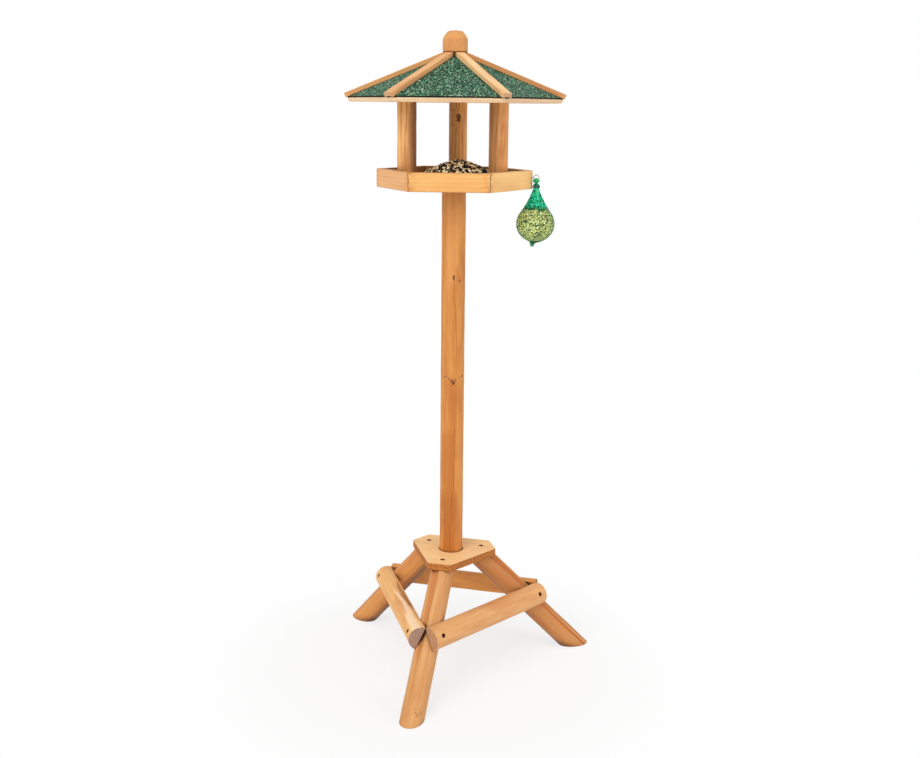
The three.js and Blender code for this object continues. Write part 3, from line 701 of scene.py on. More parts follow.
# %% Stand the posts
TO_LEFT = VIEW_TURN + 200
SMALL_KNOT = ((40, 30, 1.8),)
LARGE_KNOT = ((105, -48, 3.6), (99.5, -48, 3.0))
POSTS = {"post_rear": ((1.0, 0.54, 0.18), (TO_LEFT, 0.5), LARGE_KNOT, (0.05, 0.01, 0.004)),
         "post_left": ((0.93, 0.53, 0.2), (VIEW_TURN, 0.75), SMALL_KNOT, KNOT_TONE),
         "post_right": ((1.0, 0.52, 0.19), (TO_LEFT, 0.58), SMALL_KNOT, KNOT_TONE)}
for index, (name, (tone, shade_side, knots, knot_tone)) in enumerate(POSTS.items()):
    base = middle_of(name)
    base.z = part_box(name)[0].z
    # Painted shade on one side of each post and, over a wide reach, near the roof and the tray.
    finish = wood(name + "_wood", tone, AMBER, RUST, shade_side=shade_side, rings=0.75, fibres=0.7, knots=knots,
                  corner_reach=26, knot_tone=knot_tone)
    timber(name, UP, base, finish, pith=(4, 5 - 4 * index), uneven=0.3)
print("posts", len(POSTS))

# %% [markdown]
# ## The roof
# Six panels of sheet material lean together under six battens, and a turned cap closes the peak. A
# batten's grain runs down its hip, which is less steep than the panels: the slope is worked out from
# theirs. The front battens are the palest in the photograph.

# %% Build the roof
EAVE_SLOPE = 25
HIP_SLOPE = math.atan(math.tan(math.radians(EAVE_SLOPE)) * math.cos(math.pi / SIDES))
BATTEN_TONES = ((0.66, 0.3, 0.1), (0.55, 0.22, 0.07), (0.55, 0.22, 0.07), (0.78, 0.4, 0.14), (0.86, 0.48, 0.2),
                (1.0, 0.68, 0.34))
for index, tone in enumerate(BATTEN_TONES):
    name = f"roof_panel_{index + 1}"
    finish = wood(name + "_wood", (0.93, 0.7, 0.44), (0.66, 0.34, 0.14), (0.74, 0.42, 0.2), ring=4.5, rings=0.45,
                  speckle=0.6, patchy=0.35, end=(0.88, 0.6, 0.34))
    timber(name, from_azimuth(side_azimuth(index) + 90), middle_of(name), finish, pith=(25, 50),
           shift=75 * index, arris=0.5)
    name = f"hip_batten_{index + 1}"
    slope = from_azimuth(house_turn + index * 360 / SIDES, math.cos(HIP_SLOPE), -math.sin(HIP_SLOPE))
    finish = wood(name + "_wood", tone, (0.56, 0.24, 0.08), (0.6, 0.24, 0.08), ring=3.5, rings=0.5,
                  end=(0.74, 0.43, 0.22), grit_share=0.35, arris_tone=0.5)
    timber(name, slope, middle_of(name), finish, pith=(18, 22), shift=55 * index, arris=0.9)
cap_wood = wood("cap_wood", (0.78, 0.38, 0.125), AMBER, (0.58, 0.22, 0.06), ring=2.4, end=(0.72, 0.34, 0.115),
                grit_share=0.15)
timber("roof_cap", UP, middle_of("roof_cap"), cap_wood, pith=(5, 14), arris=0.8)
print("roof pieces", 2 * SIDES + 1)

# %% [markdown]
# ## The felt
# Roofing felt is bitumen faced with crushed mineral. Every granule is its own green, a few are pale or
# black, and the bitumen shows as a dark line at the edge. A cell pattern in real size gives each
# granule a colour and a height. Painted shade darkens the felt where the battens and the cap stand close.

# %% Lay the felt
GRANULE_DARK = (0.004, 0.045, 0.018)
GRANULE_GREEN = (0.15, 0.42, 0.24)
GRANULE_PALE = (0.62, 0.78, 0.58)
GRANULE_BLACK = (0.003, 0.01, 0.006)
WORN_GREEN = (0.03, 0.1, 0.06)
BITUMEN = (0.008, 0.01, 0.008)
FELT_SHADE = (0.006, 0.012, 0.008)


def in_millimetres(tree):
    """Where a point lies in the scene."""
    return scaled(step(tree, "TexCoord", out="Object"), (1 / MM, 1 / MM, 1 / MM))


def cells_at(vector, scale):
    """A pattern of cells: three random numbers of each cell, and the distance to its middle."""
    cells = step(vector.tree, "TexVoronoi", {"Vector": vector, "Scale": scale, "Randomness": 1.0}, out="Color")
    return parts_of(cells, "SeparateColor"), cells.beside("Distance")


def granule_finish():
    finish, tree, shader = new_finish("mineral_felt", {"Roughness": 0.85, "Specular IOR Level": 0.2})
    place = in_millimetres(tree)
    (tone, pale_draw, black_draw), near = cells_at(place, 0.6)
    clumps = ramp(noise_at(place, 0.3, 2), 0.42, 0.6)
    colour = blend_of(ramp(tone, 0.3, 0.8), GRANULE_DARK, GRANULE_GREEN)
    colour = blend_of(ramp(pale_draw + clumps * 0.1, 0.9, 0.94), colour, GRANULE_PALE)
    colour = blend_of(ramp(black_draw - clumps * 0.4, 0.3, 0.36) * 0.9, colour, GRANULE_BLACK)
    colour = blend_of(ramp(noise_at(place, 0.03, 3), 0.45, 0.75, 0, 0.35), colour, WORN_GREEN)
    up = parts_of(step(tree, "NewGeometry", out="Normal"))[2]
    colour = blend_of(ramp(up, 0.5, 0.75, 1, 0), colour, BITUMEN)
    # Painted shade where the battens and the cap stand close over the felt.
    colour = blend_of(ramp(open_air(tree, 7), 0.3, 0.85, 1, 0), colour, FELT_SHADE)
    coat(shader, colour, ramp(near, 0.1, 0.75, 1, 0) + tone * 0.4, 0.6)
    return finish


def finished_node(node, finish):
    """Gives a frame solid its finish."""
    data = nodes[node].data
    data.materials.clear()
    data.materials.append(finish)


finished_node("roof_felt", granule_finish())
print("felt laid")

# %% [markdown]
# ## Screws
# The fixings are plated steel. The screws sunk deep in the plate and the rails get a dark steel that
# stands for the shade in their holes, and the rest are bright. They keep their plain frame shape, because
# only their heads show.

# %% Plate the steel
def steel_finish(name, bright, dull_tone):
    finish, tree, shader = new_finish(name, {"Metallic": 1.0})
    dull = noise_at(in_millimetres(tree), 0.8, 4)
    feed(shader.inputs["Roughness"], ramp(dull, 0.3, 0.7, 0.22, 0.42))
    coat(shader, blend_of(dull, bright, dull_tone), dull, 0.03)
    return finish


plated_steel = steel_finish("plated_steel", (0.62, 0.62, 0.6), (0.42, 0.41, 0.38))
# Painted shade: a near-black steel for the screws deep in their holes.
shaded_steel = steel_finish("shaded_steel", (0.09, 0.08, 0.07), (0.04, 0.03, 0.025))
steel_nodes = [s["node"] for s in frame["record"]["subparts"] if s["material_slot"] == "steel"]
for name in steel_nodes:
    finished_node(name, shaded_steel if name.startswith(("plate_screw", "rail")) else plated_steel)
print("steel pieces", len(steel_nodes))

# %% [markdown]
# ## Tubes along a path
# Net cords, knots and wire are all round things along a path. A curve object with a round bevel makes
# them, and is then turned into a mesh. The first one is the screw eye, drawn as one bent wire: a
# straight shank, a short bend and nearly a full ring.

# %% Draw a tube and bend the screw eye
def smooth(mesh):
    for f in mesh.polygons:
        f.use_smooth = True
    return mesh


def tube_piece(name, paths, radius, finish, body, replaced=(), closed=False, sides=3):
    """A piece of round cords along paths. Each path is a list of points in metres."""
    curve = bpy.data.curves.new(name, "CURVE")
    curve.dimensions = "3D"
    curve.bevel_depth = radius
    curve.bevel_resolution = sides
    curve.use_fill_caps = not closed
    for path in paths:
        line = curve.splines.new("POLY")
        line.points.add(len(path) - 1)
        line.use_cyclic_u = closed
        for index, point in enumerate(path):
            line.points[index].co = (*point, 1)
    holder = bpy.data.objects.new(name, curve)
    scene.collection.objects.link(holder)
    bpy.context.view_layer.update()
    mesh = bpy.data.meshes.new_from_object(holder.evaluated_get(bpy.context.evaluated_depsgraph_get()))
    bpy.data.objects.remove(holder)
    bpy.data.curves.remove(curve)
    mesh.materials.append(finish)
    return add_piece(name, smooth(mesh), body, replaced)


OUT = from_azimuth(house_turn)
EYE_RING = 4.3 * MM
EYE_WIRE = 0.9 * MM
EYE_SHANK = 14 * MM
EYE_POINTS = 26
EYE_CLOSED = 0.965
SHANK_POINTS = 6
BEND_POINTS = 3
BEND_IN = 0.12
eye_low, eye_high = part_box("screw_eye")
eye_middle = Vector((ball_middle.x, ball_middle.y, (eye_low.z + eye_high.z) / 2))
wire = [eye_middle - OUT * (EYE_RING + EYE_SHANK * (1 - i / SHANK_POINTS)) for i in range(SHANK_POINTS)]
for i in range(EYE_POINTS + 1):
    angle = math.pi - 2 * math.pi * i / EYE_POINTS * EYE_CLOSED
    bend = 1 - BEND_IN * max(0, 1 - i / BEND_POINTS)
    wire.append(eye_middle + (OUT * math.cos(angle) + UP * math.sin(angle)) * EYE_RING * bend)
tube_piece("eye_wire", [wire], EYE_WIRE, plated_steel, "table", ("screw_eye",), sides=4)
print("screw eye ring", round(2 * EYE_RING / MM, 1), "mm across its wire's middle")

# %% [markdown]
# ## The shape of the heap
# Poured seed makes a low mound with a steep foot. Its height follows a power curve, which is easy to fit
# to the outline in the photograph. The peak leans a little towards the corner with the ball.

# %% Shape the heap
HEAP_POWER = 1.53
HEAP_FULL_REACH = 78 * MM
HEAP_REACH = 61 * MM
HEAP_ASIDE = 4 * MM
HEAP_FOOT = 9
HEAP_LEAN = 5 / 36
SEED_ROOM = 2 * MM
heap_low, heap_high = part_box("seed_heap")
heap_foot = pole_axis + from_azimuth(house_turn, HEAP_ASIDE, heap_low.z)
heap_rise = heap_high.z - heap_low.z - SEED_ROOM


def heap_height(reach):
    """Height of the mound at a distance from its middle. It ends in a steep foot."""
    slope = heap_rise * (1 - (reach / HEAP_FULL_REACH) ** HEAP_POWER)
    return max(slope * min(1, (1 - min(reach / HEAP_REACH, 1)) * HEAP_FOOT) ** 0.5, 0)


def heap_point(reach, azimuth, lift=0.0):
    """A point over the mound. The peak leans to one side of the foot."""
    height = heap_height(reach)
    side = Vector((reach * math.cos(azimuth), reach * math.sin(azimuth), height + lift))
    return heap_foot + side + from_azimuth(house_turn, height * HEAP_LEAN)


print("heap", round(2 * HEAP_REACH / MM), "mm across and", round(heap_rise / MM), "mm high")

# %% [markdown]
# ## One seed
# A seed is small and flat, with a point at each end. It is built from rings of corners, and has few
# faces, because nearly two thousand of them are needed. Its husk is striped along it.

# %% Shape and paint one seed
SEED_RINGS = 3
SEED_SIDES = 6


def seed_shape(length, width, thick):
    """Points and faces of one pointed seed."""
    points = [Vector((-length / 2, 0, 0))]
    for ring in range(SEED_RINGS):
        share = (ring + 0.6) / (SEED_RINGS + 0.1)
        girth = math.sin(math.pi * share ** 0.8)
        for side in range(SEED_SIDES):
            angle = 2 * math.pi * side / SEED_SIDES
            points.append(Vector((length * (share - 0.5), width / 2 * girth * math.cos(angle),
                                  thick / 2 * girth * math.sin(angle))))
    points.append(Vector((length / 2, 0, 0)))
    faces = []
    for side in range(SEED_SIDES):
        after = (side + 1) % SEED_SIDES
        faces.append((0, 1 + after, 1 + side))
        for ring in range(SEED_RINGS - 1):
            a, b = 1 + ring * SEED_SIDES, 1 + (ring + 1) * SEED_SIDES
            faces.append((a + side, a + after, b + after, b + side))
        end = 1 + (SEED_RINGS - 1) * SEED_SIDES
        faces.append((end + side, end + after, len(points) - 1))
    return points, faces


def seed_finish(name, base, stripe, stripes):
    """A husk with stripes along the seed."""
    finish, tree, shader = new_finish(name, {"Roughness": 0.6, "Specular IOR Level": 0.18})
    grain = told(tree, "grain", "Vector")
    lines = noise_at(scaled(grain, (0.08, 1, 1)), 1.1, 3)
    colour = blend_of(ramp(lines, 0.52, 0.6, 0, stripes), base, stripe)
    colour = blend_of(ramp(noise_at(grain, 0.25, 2), 0.4, 0.7, 0, 0.35), colour, dimmed(base, 0.6))
    coat(shader, colour, lines, 0.15)
    return finish


print("faces of one seed", len(seed_shape(1, 1, 1)[1]))

# %% [markdown]
# ## The heap of seed
# A heap of loose seed is made of seeds. Each one is dropped on the mound with a random turn and pressed
# in a little. Black and striped sunflower seed is mixed with pale kernels. One mesh holds them all,
# because a thousand objects would be slow.

# %% Heap up the seed
SEED_COUNT = 1050
SLOPE_STEP = 1.5 * MM
SEED_FLOOR = 2.2 * MM
HEAP_EDGE = 0.98
seed_kinds = [
    (seed_finish("black_husk", (0.005, 0.0035, 0.0035), (0.02, 0.015, 0.014), 0.5), (11, 6.2, 3.6), 0.41),
    (seed_finish("striped_husk", (0.03, 0.024, 0.02), (0.85, 0.74, 0.55), 0.9), (11.5, 5.8, 3.6), 0.08),
    (seed_finish("cream_kernel", (1.0, 0.84, 0.5), (1.0, 0.94, 0.68), 0.6), (9.5, 5.9, 3.8), 0.44),
    (seed_finish("brown_grain", (0.62, 0.27, 0.09), (0.8, 0.46, 0.2), 0.6), (8, 4.9, 3.6), 0.07),
]
seed_random = random.Random(11)


def scatter(mesh_name, placed, kinds):
    """One mesh of seeds, each with its matrix, size and kind, and its own part of the husk's pattern."""
    points, faces, slots, grains = [], [], [], []
    for count, (matrix, size, kind) in enumerate(placed):
        corners, sides = seed_shape(*dimmed(size, MM))
        start = len(points)
        points += [matrix @ p for p in corners]
        grains += [p / MM + Vector((17 * count % 101, count % 37, count % 53)) for p in corners]
        faces += [tuple(start + i for i in side) for side in sides]
        slots += [kind] * len(sides)
    mesh = bpy.data.meshes.new(mesh_name)
    mesh.from_pydata(points, [], faces)
    for finish, *_ in kinds:
        mesh.materials.append(finish)
    grain = mesh.attributes.new("grain", "FLOAT_VECTOR", "POINT")
    for index, value in enumerate(grains):
        grain.data[index].vector = value
    for face, kind in zip(mesh.polygons, slots):
        face.material_index = kind
    return smooth(mesh)


def turned(chooser, low, high, axis):
    return Matrix.Rotation(chooser.uniform(low, high), 4, axis)


def pick_kind(chooser):
    roll = chooser.random()
    for index, (_, size, share) in enumerate(seed_kinds):
        if roll < share:
            return index, size
        roll -= share
    return 0, seed_kinds[0][1]


placed = []
for _ in range(SEED_COUNT):
    reach = HEAP_REACH * math.sqrt(seed_random.random()) * HEAP_EDGE
    azimuth = seed_random.uniform(0, 2 * math.pi)
    kind, size = pick_kind(seed_random)
    size = tuple(v * seed_random.uniform(0.8, 1.05) for v in size)
    fall = heap_height(max(reach - SLOPE_STEP, 0)) - heap_height(reach + SLOPE_STEP)
    level = Matrix.Rotation(azimuth, 4, "Z") @ Matrix.Rotation(min(math.atan2(fall, 2 * SLOPE_STEP), 1.0), 4, "Y")
    lie = (turned(seed_random, 0, 2 * math.pi, "Z") @ turned(seed_random, -0.5, 0.5, "Y")
           @ turned(seed_random, -0.4, 0.4, "X"))
    spot = heap_point(reach, azimuth, seed_random.uniform(0.0, 1.7) * MM)
    spot.z = max(spot.z, heap_low.z + SEED_FLOOR)
    placed.append((Matrix.Translation(spot) @ level @ lie, size, kind))
seed_mesh = scatter("loose_seed", placed, seed_kinds)
print("seeds", len(placed))

# %% [markdown]
# ## The mound under the seeds
# Between the seeds the heap lies in shade. A closed mound just under them, painted near black as that
# shade, fills the gaps, and stands for the frame's solid heap.

# %% Fill the gaps
MOUND_RINGS = 16
MOUND_SIDES = 48
PEAK_SUNK = 1.2 * MM


def mesh_of(work, name, finish):
    """Turns what was built into a mesh with its finish."""
    mesh = bpy.data.meshes.new(name)
    work.to_mesh(mesh)
    work.free()
    mesh.materials.append(finish)
    return mesh


mound_random = random.Random(5)
mound = bmesh.new()
rows = []
for ring in range(1, MOUND_RINGS + 1):
    row = []
    for k in range(MOUND_SIDES):
        sunk = mound_random.uniform(0.6, 1.6) * MM * (ring < MOUND_RINGS)
        spot = heap_point(HEAP_REACH * ring / MOUND_RINGS, 2 * math.pi * k / MOUND_SIDES, -sunk)
        row.append(mound.verts.new(spot))
    rows.append(row)
peak = mound.verts.new(heap_point(0, 0, -PEAK_SUNK))
base = mound.verts.new(heap_foot)
for k in range(MOUND_SIDES):
    after = (k + 1) % MOUND_SIDES
    mound.faces.new((peak, rows[0][k], rows[0][after]))
    mound.faces.new((base, rows[-1][after], rows[-1][k]))
    for inner, outer in zip(rows, rows[1:]):
        mound.faces.new((inner[k], outer[k], outer[after], inner[after]))
bmesh.ops.recalc_face_normals(mound, faces=mound.faces)
# Painted shade: the near-black mound that shows between the seeds.
gap_shade = seed_finish("gap_shade", (0.02, 0.016, 0.013), (0.09, 0.07, 0.05), 0.6)
mound_mesh = mesh_of(mound, "seed_mound", gap_shade)
grain = mound_mesh.attributes.new("grain", "FLOAT_VECTOR", "POINT")
for v in mound_mesh.vertices:
    grain.data[v.index].vector = v.co / MM
add_piece("seed_mound", mound_mesh, "table", ("seed_heap",))
add_piece("loose_seed", seed_mesh, "table")
print("mound faces", len(mound_mesh.polygons))

# %% [markdown]
# ## The fat ball
# Fat and seed are pressed into a ball with a bumpy skin. A subdivided ball is pushed in and out by
# noise. Its finish mixes pale yellow-green fat with tan and dark bits, in cells with ragged edges.

# %% Press the fat ball
BALL_RADIUS = 31 * MM
BALL_HALF_HEIGHT = 29.5 * MM


def fat_finish():
    fixed = {"Roughness": 0.48, "Subsurface Weight": 0.08, "Subsurface Radius": (0.004, 0.003, 0.001)}
    finish, tree, shader = new_finish("seed_fat", fixed)
    place = in_millimetres(tree)
    ragged = moved(place, scaled(noise_at(place, 0.5, 3, out="Color"), (3.5, 3.5, 3.5)))
    (tan_draw, dark_draw, _), away = cells_at(ragged, 0.38)
    colour = blend_of(noise_at(place, 0.12, 4), (0.56, 0.66, 0.15), (0.97, 1.0, 0.36))
    colour = blend_of(ramp(tan_draw, 0.7, 0.76, 0, 0.7), colour, (0.14, 0.14, 0.03))
    colour = blend_of(ramp(dark_draw, 0.76, 0.8, 0, 0.95), colour, (0.012, 0.02, 0.003))
    coat(shader, colour, noise_at(place, 0.5, 4) - away * 0.6, 0.7)
    return finish


def ball_point(out, radius):
    """A point of the slightly flattened ball, in a direction from its middle."""
    return ball_middle + Vector((out.x * radius, out.y * radius, out.z * radius * BALL_HALF_HEIGHT / BALL_RADIUS))


ball = bmesh.new()
bmesh.ops.create_icosphere(ball, subdivisions=5, radius=1.0)
for v in ball.verts:
    out = v.co.normalized()
    dent = noise.noise(out * 5) * 0.5 + noise.noise(out * 13) * 0.35 - 0.5
    v.co = ball_point(out, BALL_RADIUS + dent * MM)
ball_mesh = mesh_of(ball, "pressed_fat", fat_finish())
add_piece("pressed_fat", smooth(ball_mesh), "ball", ("fat_ball",))
print("ball", round(2 * BALL_RADIUS / MM), "mm across")

# %% [markdown]
# ## Seeds in the fat
# Small seeds sit in the ball's surface, flat side out. They are scattered evenly by drawing three
# numbers from a bell curve, which gives every direction the same chance.

# %% Sink the seeds
SUNK_SEEDS = 820
SUNK_DEPTH = 1.1 * MM
SUNK_WEIGHTS = (6, 2, 9)
sunk_kinds = [
    (seed_finish("sunk_dark_seed", (0.012, 0.018, 0.003), (0.04, 0.045, 0.01), 0.5), (4.4, 3.2, 2.0)),
    (seed_finish("sunk_tan_seed", (0.85, 0.62, 0.26), (0.95, 0.8, 0.42), 0.5), (4.6, 3.0, 2.2)),
    (seed_finish("sunk_pale_grain", (1.0, 1.0, 0.5), (1.0, 1.0, 0.68), 0.4), (4.8, 3.7, 2.4)),
]
ball_random = random.Random(23)
sunk = []
for _ in range(SUNK_SEEDS):
    out = Vector([ball_random.gauss(0, 1) for _ in range(3)]).normalized()
    kind = ball_random.choices((0, 1, 2), SUNK_WEIGHTS)[0]
    size = tuple(v * ball_random.uniform(0.8, 1.15) for v in sunk_kinds[kind][1])
    lie = out.to_track_quat("Z", "X").to_matrix().to_4x4() @ turned(ball_random, 0, 6.28, "Z")
    sunk.append((Matrix.Translation(ball_point(out, BALL_RADIUS - SUNK_DEPTH)) @ lie, size, kind))
add_piece("sunk_seed", scatter("sunk_seed", sunk, sunk_kinds), "ball")
print("seeds in the fat", len(sunk))

# %% [markdown]
# ## The net
# The net is knitted in one tube, gathered above and below the ball. Two sets of cords wind opposite
# ways, so they cross in diamonds. On the ball they lie a fraction above the fat, and over it they run up
# a cone to the neck, where they crowd together. The line of the cone just touches the ball.

# %% Knit the net
NET_CORDS = 32
NET_CORD = 0.24 * MM
NET_STEPS = 70
NET_TWIST = 0.62
NET_LIFT = 0.55 * MM
NET_SAG = 2 * MM
NET_CONE = 0.27
NET_END = 0.05
NECK_RADIUS = 4.2 * MM
clip_low, clip_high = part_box("net_clip")
net_radius = BALL_RADIUS + NET_LIFT
net_half = BALL_HALF_HEIGHT + NET_LIFT
neck_rise = clip_low.z - ball_middle.z
touch = math.atan2(neck_rise, NECK_RADIUS) - math.acos(net_radius / math.hypot(NECK_RADIUS, neck_rise))


def net_profile(share):
    """Distance from the net's axis and height above the ball's middle, from the neck to the tail."""
    if share < NET_CONE:
        part = share / NET_CONE
        end_r, end_z = net_radius * math.cos(touch), net_half * math.sin(touch)
        reach = NECK_RADIUS + (end_r - NECK_RADIUS) * part - NET_SAG * math.sin(math.pi * part)
        return reach, neck_rise + (end_z - neck_rise) * part
    part = (share - NET_CONE) / (1 - NET_CONE)
    angle = touch + (-math.pi / 2 + NET_END - touch) * part
    return net_radius * math.cos(angle), net_half * math.sin(angle)


def round_point(centre, angle, reach, height):
    """A point round an upright axis."""
    return Vector((centre.x + reach * math.cos(angle), centre.y + reach * math.sin(angle), centre.z + height))


def net_path(start, direction):
    """One cord, wound round the ball from the neck to the tail."""
    path = []
    for i in range(NET_STEPS + 1):
        share = i / NET_STEPS
        path.append(round_point(ball_middle, start + direction * NET_TWIST * math.pi * share, *net_profile(share)))
    return path


paths = [net_path(2 * math.pi * k / NET_CORDS, direction) for k in range(NET_CORDS) for direction in (1, -1)]
cord_length = sum((b - a).length for a, b in zip(paths[0], paths[0][1:]))
print("net cords", len(paths), "of", round(cord_length / MM), "mm")

# %% [markdown]
# ## The net's plastic
# The net is thin glossy green plastic. It is deep green where one cord lies alone, bright where many
# crowd together over the ball, and has painted shade at the hem of the gather. Creases run through it as
# noise, with painted shade in their hollows and painted highlights on their crests.

# %% Colour the net
GATHER_END = 0.75
GATHERED_DEEP = (0.0, 0.085, 0.035)
GATHERED_BRIGHT = (0.02, 0.95, 0.52)
HEM_HEIGHT = (ball_middle.z + net_profile(NET_CONE * GATHER_END)[1]) / MM
HEM_FADE = 5


def net_finish(name, deep, bright, crease_depth=0.6, crease_low=0.39, crowded=False):
    """Thin glossy cord with creases so deep, in millimetres. A crowded one gets brighter over the hem."""
    finish, tree, shader = new_finish(name, {"Roughness": 0.3, "Specular IOR Level": 0.25})
    place = in_millimetres(tree)
    creases = noise_at(place, 0.28, 3, 0.6)
    low, high = deep, bright
    if crowded:
        over_hem = ramp(parts_of(place)[2], HEM_HEIGHT, HEM_HEIGHT + HEM_FADE)
        low = blend_of(over_hem, deep, GATHERED_DEEP)
        high = blend_of(over_hem, bright, GATHERED_BRIGHT)
    # Painted shade in the creases and painted light on their crests: the tone follows the crease height.
    colour = blend_of(ramp(creases, crease_low, crease_low + 0.1), low, high)
    # Painted highlights on the highest crests.
    colour = blend_of(ramp(creases, 0.55, 0.63, 0, 0.7), colour, tuple(min(v + 0.2, 1) for v in bright))
    # Painted shade where the mesh tells of a hem.
    colour = blend_of(told(tree, "hem"), colour, dimmed(deep, 0.9))
    coat(shader, colour, creases, crease_depth)
    return finish


net_green = net_finish("net_green", (0.008, 0.13, 0.025), (0.035, 0.34, 0.07), crease_low=0.43, crowded=True)
tube_piece("net_cords", paths, NET_CORD, net_green, "ball", ("net_bag",), sides=1)
print("hem at", round(HEM_HEIGHT), "mm")

# %% [markdown]
# ## Pleats of gathered net
# Where the net is drawn together, its slack folds into pleats. They are one thin sheet, a tube of rings
# whose radius goes in and out. Each pleat wanders a little and noise crumples it, so that no two are
# alike. A modifier gives the sheet its thickness.

# %% Fold the gathered net
PLEATS = 9
PLEAT_SIDES = 8
GATHER_SIDES = PLEATS * PLEAT_SIDES
NET_THICKNESS = 0.3 * MM
PLEAT_SWAY = 1.4
CRUMPLE = 0.07
FINE_CRUMPLE = 0.06
pleat_random = random.Random(3)
wander = [pleat_random.uniform(-0.25, 0.25) for _ in range(PLEATS)]
gathered_green = net_finish("gathered_green", GATHERED_DEEP, GATHERED_BRIGHT, 3.6, crease_low=0.43)
tail_low, tail_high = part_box("net_tail")
tail_middle = (tail_low + tail_high) / 2
tail_aside = tail_middle - ball_middle
tail_aside.z = 0


def pleat_radius(angle, k, share, reach, depth):
    """The sheet's distance from its middle, folded by the pleats and crumpled by noise."""
    fold = math.cos(PLEATS * angle + PLEAT_SWAY * math.sin(3 * share + wander[k // PLEAT_SIDES]) + 3 * share)
    spot = Vector((math.cos(angle) * 2, math.sin(angle) * 2, share * 7))
    crumple = noise.noise(spot) * CRUMPLE + noise.noise(spot * 2.7) * FINE_CRUMPLE * min(1, 4 * share)
    return reach * (1 - depth * 0.5 * (1 - fold) - abs(crumple))


def gathered_sheet(name, rings):
    """A pleated tube. A ring has its radius, height, pleat depth, unevenness, painted hem shade and step aside."""
    sheet = bmesh.new()
    # Each corner of the sheet carries its share of painted shade at the hem.
    hem_shade_layer = sheet.verts.layers.float.new("hem")
    rows = []
    for index, (reach, height, depth, uneven, hem, aside) in enumerate(rings):
        centre = ball_middle + tail_aside * aside
        row = []
        for k in range(GATHER_SIDES):
            angle = 2 * math.pi * k / GATHER_SIDES
            radius = pleat_radius(angle, k, index / (len(rings) - 1), reach, depth)
            lift = noise.noise(Vector((angle * 2.2, 3, 1))) * uneven
            corner = sheet.verts.new(round_point(centre, angle, radius, height + lift))
            corner[hem_shade_layer] = hem
            row.append(corner)
        rows.append(row)
    for upper, lower in zip(rows, rows[1:]):
        for k in range(GATHER_SIDES):
            after = (k + 1) % GATHER_SIDES
            sheet.faces.new((upper[k], lower[k], lower[after], upper[after]))
    bmesh.ops.recalc_face_normals(sheet, faces=sheet.faces)
    made = add_piece(name, smooth(mesh_of(sheet, name, gathered_green)), "ball")
    made.modifiers.new("net_thickness", "SOLIDIFY").thickness = NET_THICKNESS


print("pleats", PLEATS)

# %% [markdown]
# ## The two gathers
# The upper gather starts as a collar that is held by the binding, stays clear of the knot above it, and
# widens into a skirt whose uneven hem lies on the ball. The lower one is short: it closes the net under
# the ball, and runs over to the tail, which hangs a little aside.

# %% Close the net over and under the ball
GATHER_ROWS = 22
KNOT_CLEARANCE = 1.3 * MM
COLLAR = 0.2
COLLAR_FLARE = 0.16
HEM_START = 0.75
HEM_UNEVEN = 5 * MM
# How deep the painted shade at a hem is.
HEM_SHADE = 0.9
cup_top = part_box("net_bag")[1].z - KNOT_CLEARANCE - ball_middle.z
upper_rings = []
for row in range(GATHER_ROWS + 1):
    share = row / GATHER_ROWS
    if share < COLLAR:
        part = share / COLLAR
        height = cup_top + (neck_rise - cup_top) * part
        upper_rings.append((NECK_RADIUS * (1 + COLLAR_FLARE * (1 - part) ** 2), height, 0.1, 0, 0.4, 0))
        continue
    part = (share - COLLAR) / (1 - COLLAR)
    reach, height = net_profile(NET_CONE * GATHER_END * part)
    # Towards the hem the sheet grows uneven and takes painted shade.
    hem = max(0, share - HEM_START) / (1 - HEM_START)
    depth = 0.12 + 0.16 * math.sin(math.pi * part)
    upper_rings.append((reach * 0.97, height, depth, HEM_UNEVEN * hem, HEM_SHADE * hem ** 2, 0))
gathered_sheet("gathered_net", upper_rings)

LOWER_ROWS = 6
LOWER_REACH = 11 * MM
LOWER_NECK = 2.4 * MM
LOWER_DROP = 3 * MM
LOWER_UNEVEN = 2 * MM
lower_top = -net_half * math.sqrt(1 - (LOWER_REACH / net_radius) ** 2) - NET_THICKNESS
lower_rings = []
for row in range(LOWER_ROWS + 1):
    part = row / LOWER_ROWS
    reach = LOWER_REACH + (LOWER_NECK - LOWER_REACH) * part ** 0.8
    height = lower_top + (-net_half - LOWER_DROP - lower_top) * part
    # The lower gather hangs under the ball and gets painted shade all over.
    lower_rings.append((reach, height, 0.1 + 0.15 * part, LOWER_UNEVEN * (1 - part), HEM_SHADE, part))
gathered_sheet("lower_gather", lower_rings)
print("rings of the gathers", len(upper_rings), "and", len(lower_rings))

# %% [markdown]
# ## The knot round the eye
# The net's upper end is knotted round the eye. The knot is a trefoil drawn with a thick cord, the
# simplest knot that really holds. A formula draws it, nearly twice as deep as usual, so that the thick
# cord doesn't run through itself where it crosses.

# %% Tie the knot round the eye
KNOT_POINTS = 90
KNOT_DEPTH = 1.9
EYE_KNOT_TURN = 50
EYE_KNOT_SIZE = 3.6 * MM
EYE_KNOT_CORD = 2.1 * MM


def trefoil(middle, size, degrees):
    """The points of a trefoil knot, turned round the vertical."""
    turn = Matrix.Rotation(math.radians(degrees), 3, "Z")
    path = []
    for i in range(KNOT_POINTS):
        t = 2 * math.pi * i / KNOT_POINTS
        x = (math.sin(t) + 2 * math.sin(2 * t)) / 3
        y = -math.sin(3 * t) / 3 * KNOT_DEPTH
        z = (math.cos(t) - 2 * math.cos(2 * t)) / 3
        path.append(middle + turn @ Vector((x, y, z)) * size)
    return path


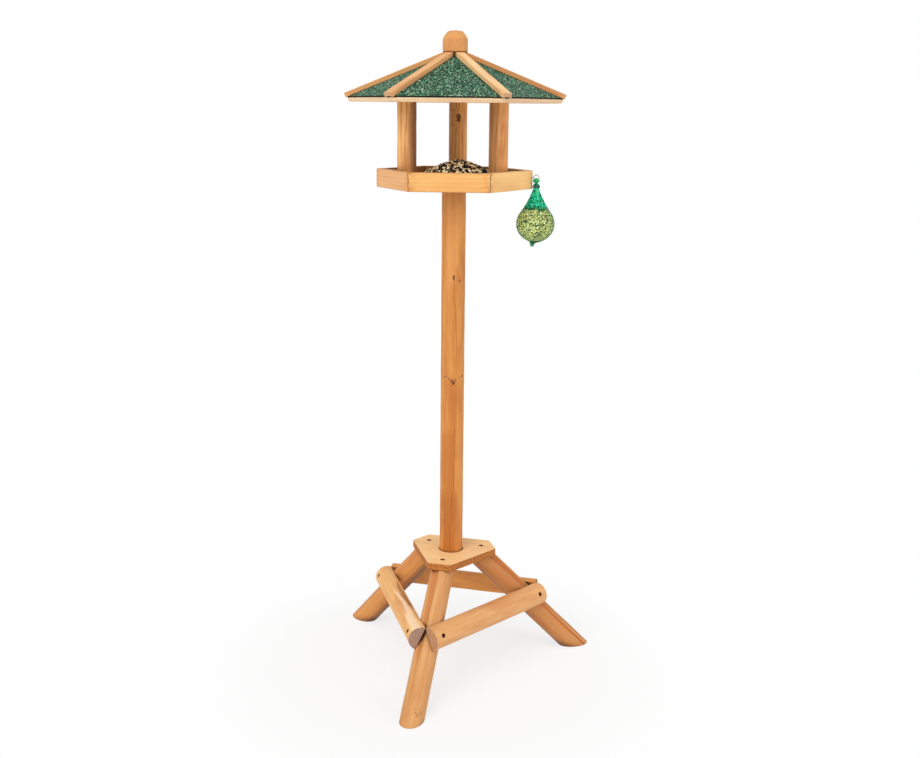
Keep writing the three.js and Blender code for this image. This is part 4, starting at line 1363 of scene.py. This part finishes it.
knot_green = net_finish("knot_green", (0.002, 0.22, 0.05), (0.008, 0.5, 0.13))
eye_knot = trefoil(middle_of("net_knot"), EYE_KNOT_SIZE, house_turn + EYE_KNOT_TURN)
tube_piece("eye_knot", [eye_knot], EYE_KNOT_CORD, knot_green, "knot", ("net_knot",), closed=True, sides=4)
print("points of the knot", len(eye_knot))

# %% [markdown]
# ## The binding
# A dark cord is wound three times round the net's neck and holds the gather. It is one climbing path,
# drawn as a tube like the rest.

# %% Wind the binding
BINDING_TURNS = 3
BINDING_STEPS = BINDING_TURNS * 20
BINDING_CORD = 0.88 * MM
BINDING_INSET = 0.9 * MM
BINDING_REACH = 5.3 * MM
binding = []
for i in range(BINDING_STEPS + 1):
    share = i / BINDING_STEPS
    height = clip_low.z + BINDING_INSET + (clip_high.z - clip_low.z - 2 * BINDING_INSET) * share
    turn = from_azimuth(360 * BINDING_TURNS * share, BINDING_REACH)
    binding.append(Vector((ball_middle.x, ball_middle.y, height)) + turn)
binding_dark = net_finish("binding_dark", (0.004, 0.012, 0.008), (0.01, 0.06, 0.03))
tube_piece("neck_binding", [binding], BINDING_CORD, binding_dark, "ball", ("net_clip",))
print("binding turns", BINDING_TURNS)

# %% [markdown]
# ## The tail
# Under the ball the net is knotted once more, and its loose ends hang below the knot. They spread and
# droop at random, because cut cord never lies straight.

# %% Tie the tail
TAIL_KNOT_HEIGHT = 5.2 * MM
TAIL_KNOT_SIZE = 2.9 * MM
TAIL_KNOT_CORD = 1.75 * MM
LOOSE_ENDS = 9
END_CORD = 0.5 * MM
END_SPREAD = 4.2 * MM
dark_green = net_finish("tail_green", (0.004, 0.11, 0.035), (0.01, 0.27, 0.09))
tail_middle.z = tail_low.z + TAIL_KNOT_HEIGHT
tail_knot = trefoil(tail_middle, TAIL_KNOT_SIZE, VIEW_TURN)
tube_piece("tail_knot", [tail_knot], TAIL_KNOT_CORD, dark_green, "ball", ("net_tail",), closed=True)
tail_random = random.Random(8)
tail_paths = []
for _ in range(LOOSE_ENDS):
    lean = Vector((tail_random.uniform(-1, 1), tail_random.uniform(-1, 1), 0)) * END_SPREAD
    drop = tail_random.uniform(3.2, 5.0) * MM
    tail_paths.append([tail_middle + lean * t * 0.9 - UP * drop * t ** 1.3 for t in (0, 0.25, 0.5, 0.75, 1)])
tube_piece("tail_ends", tail_paths, END_CORD, dark_green, "ball", sides=2)
print("loose ends", len(tail_paths))
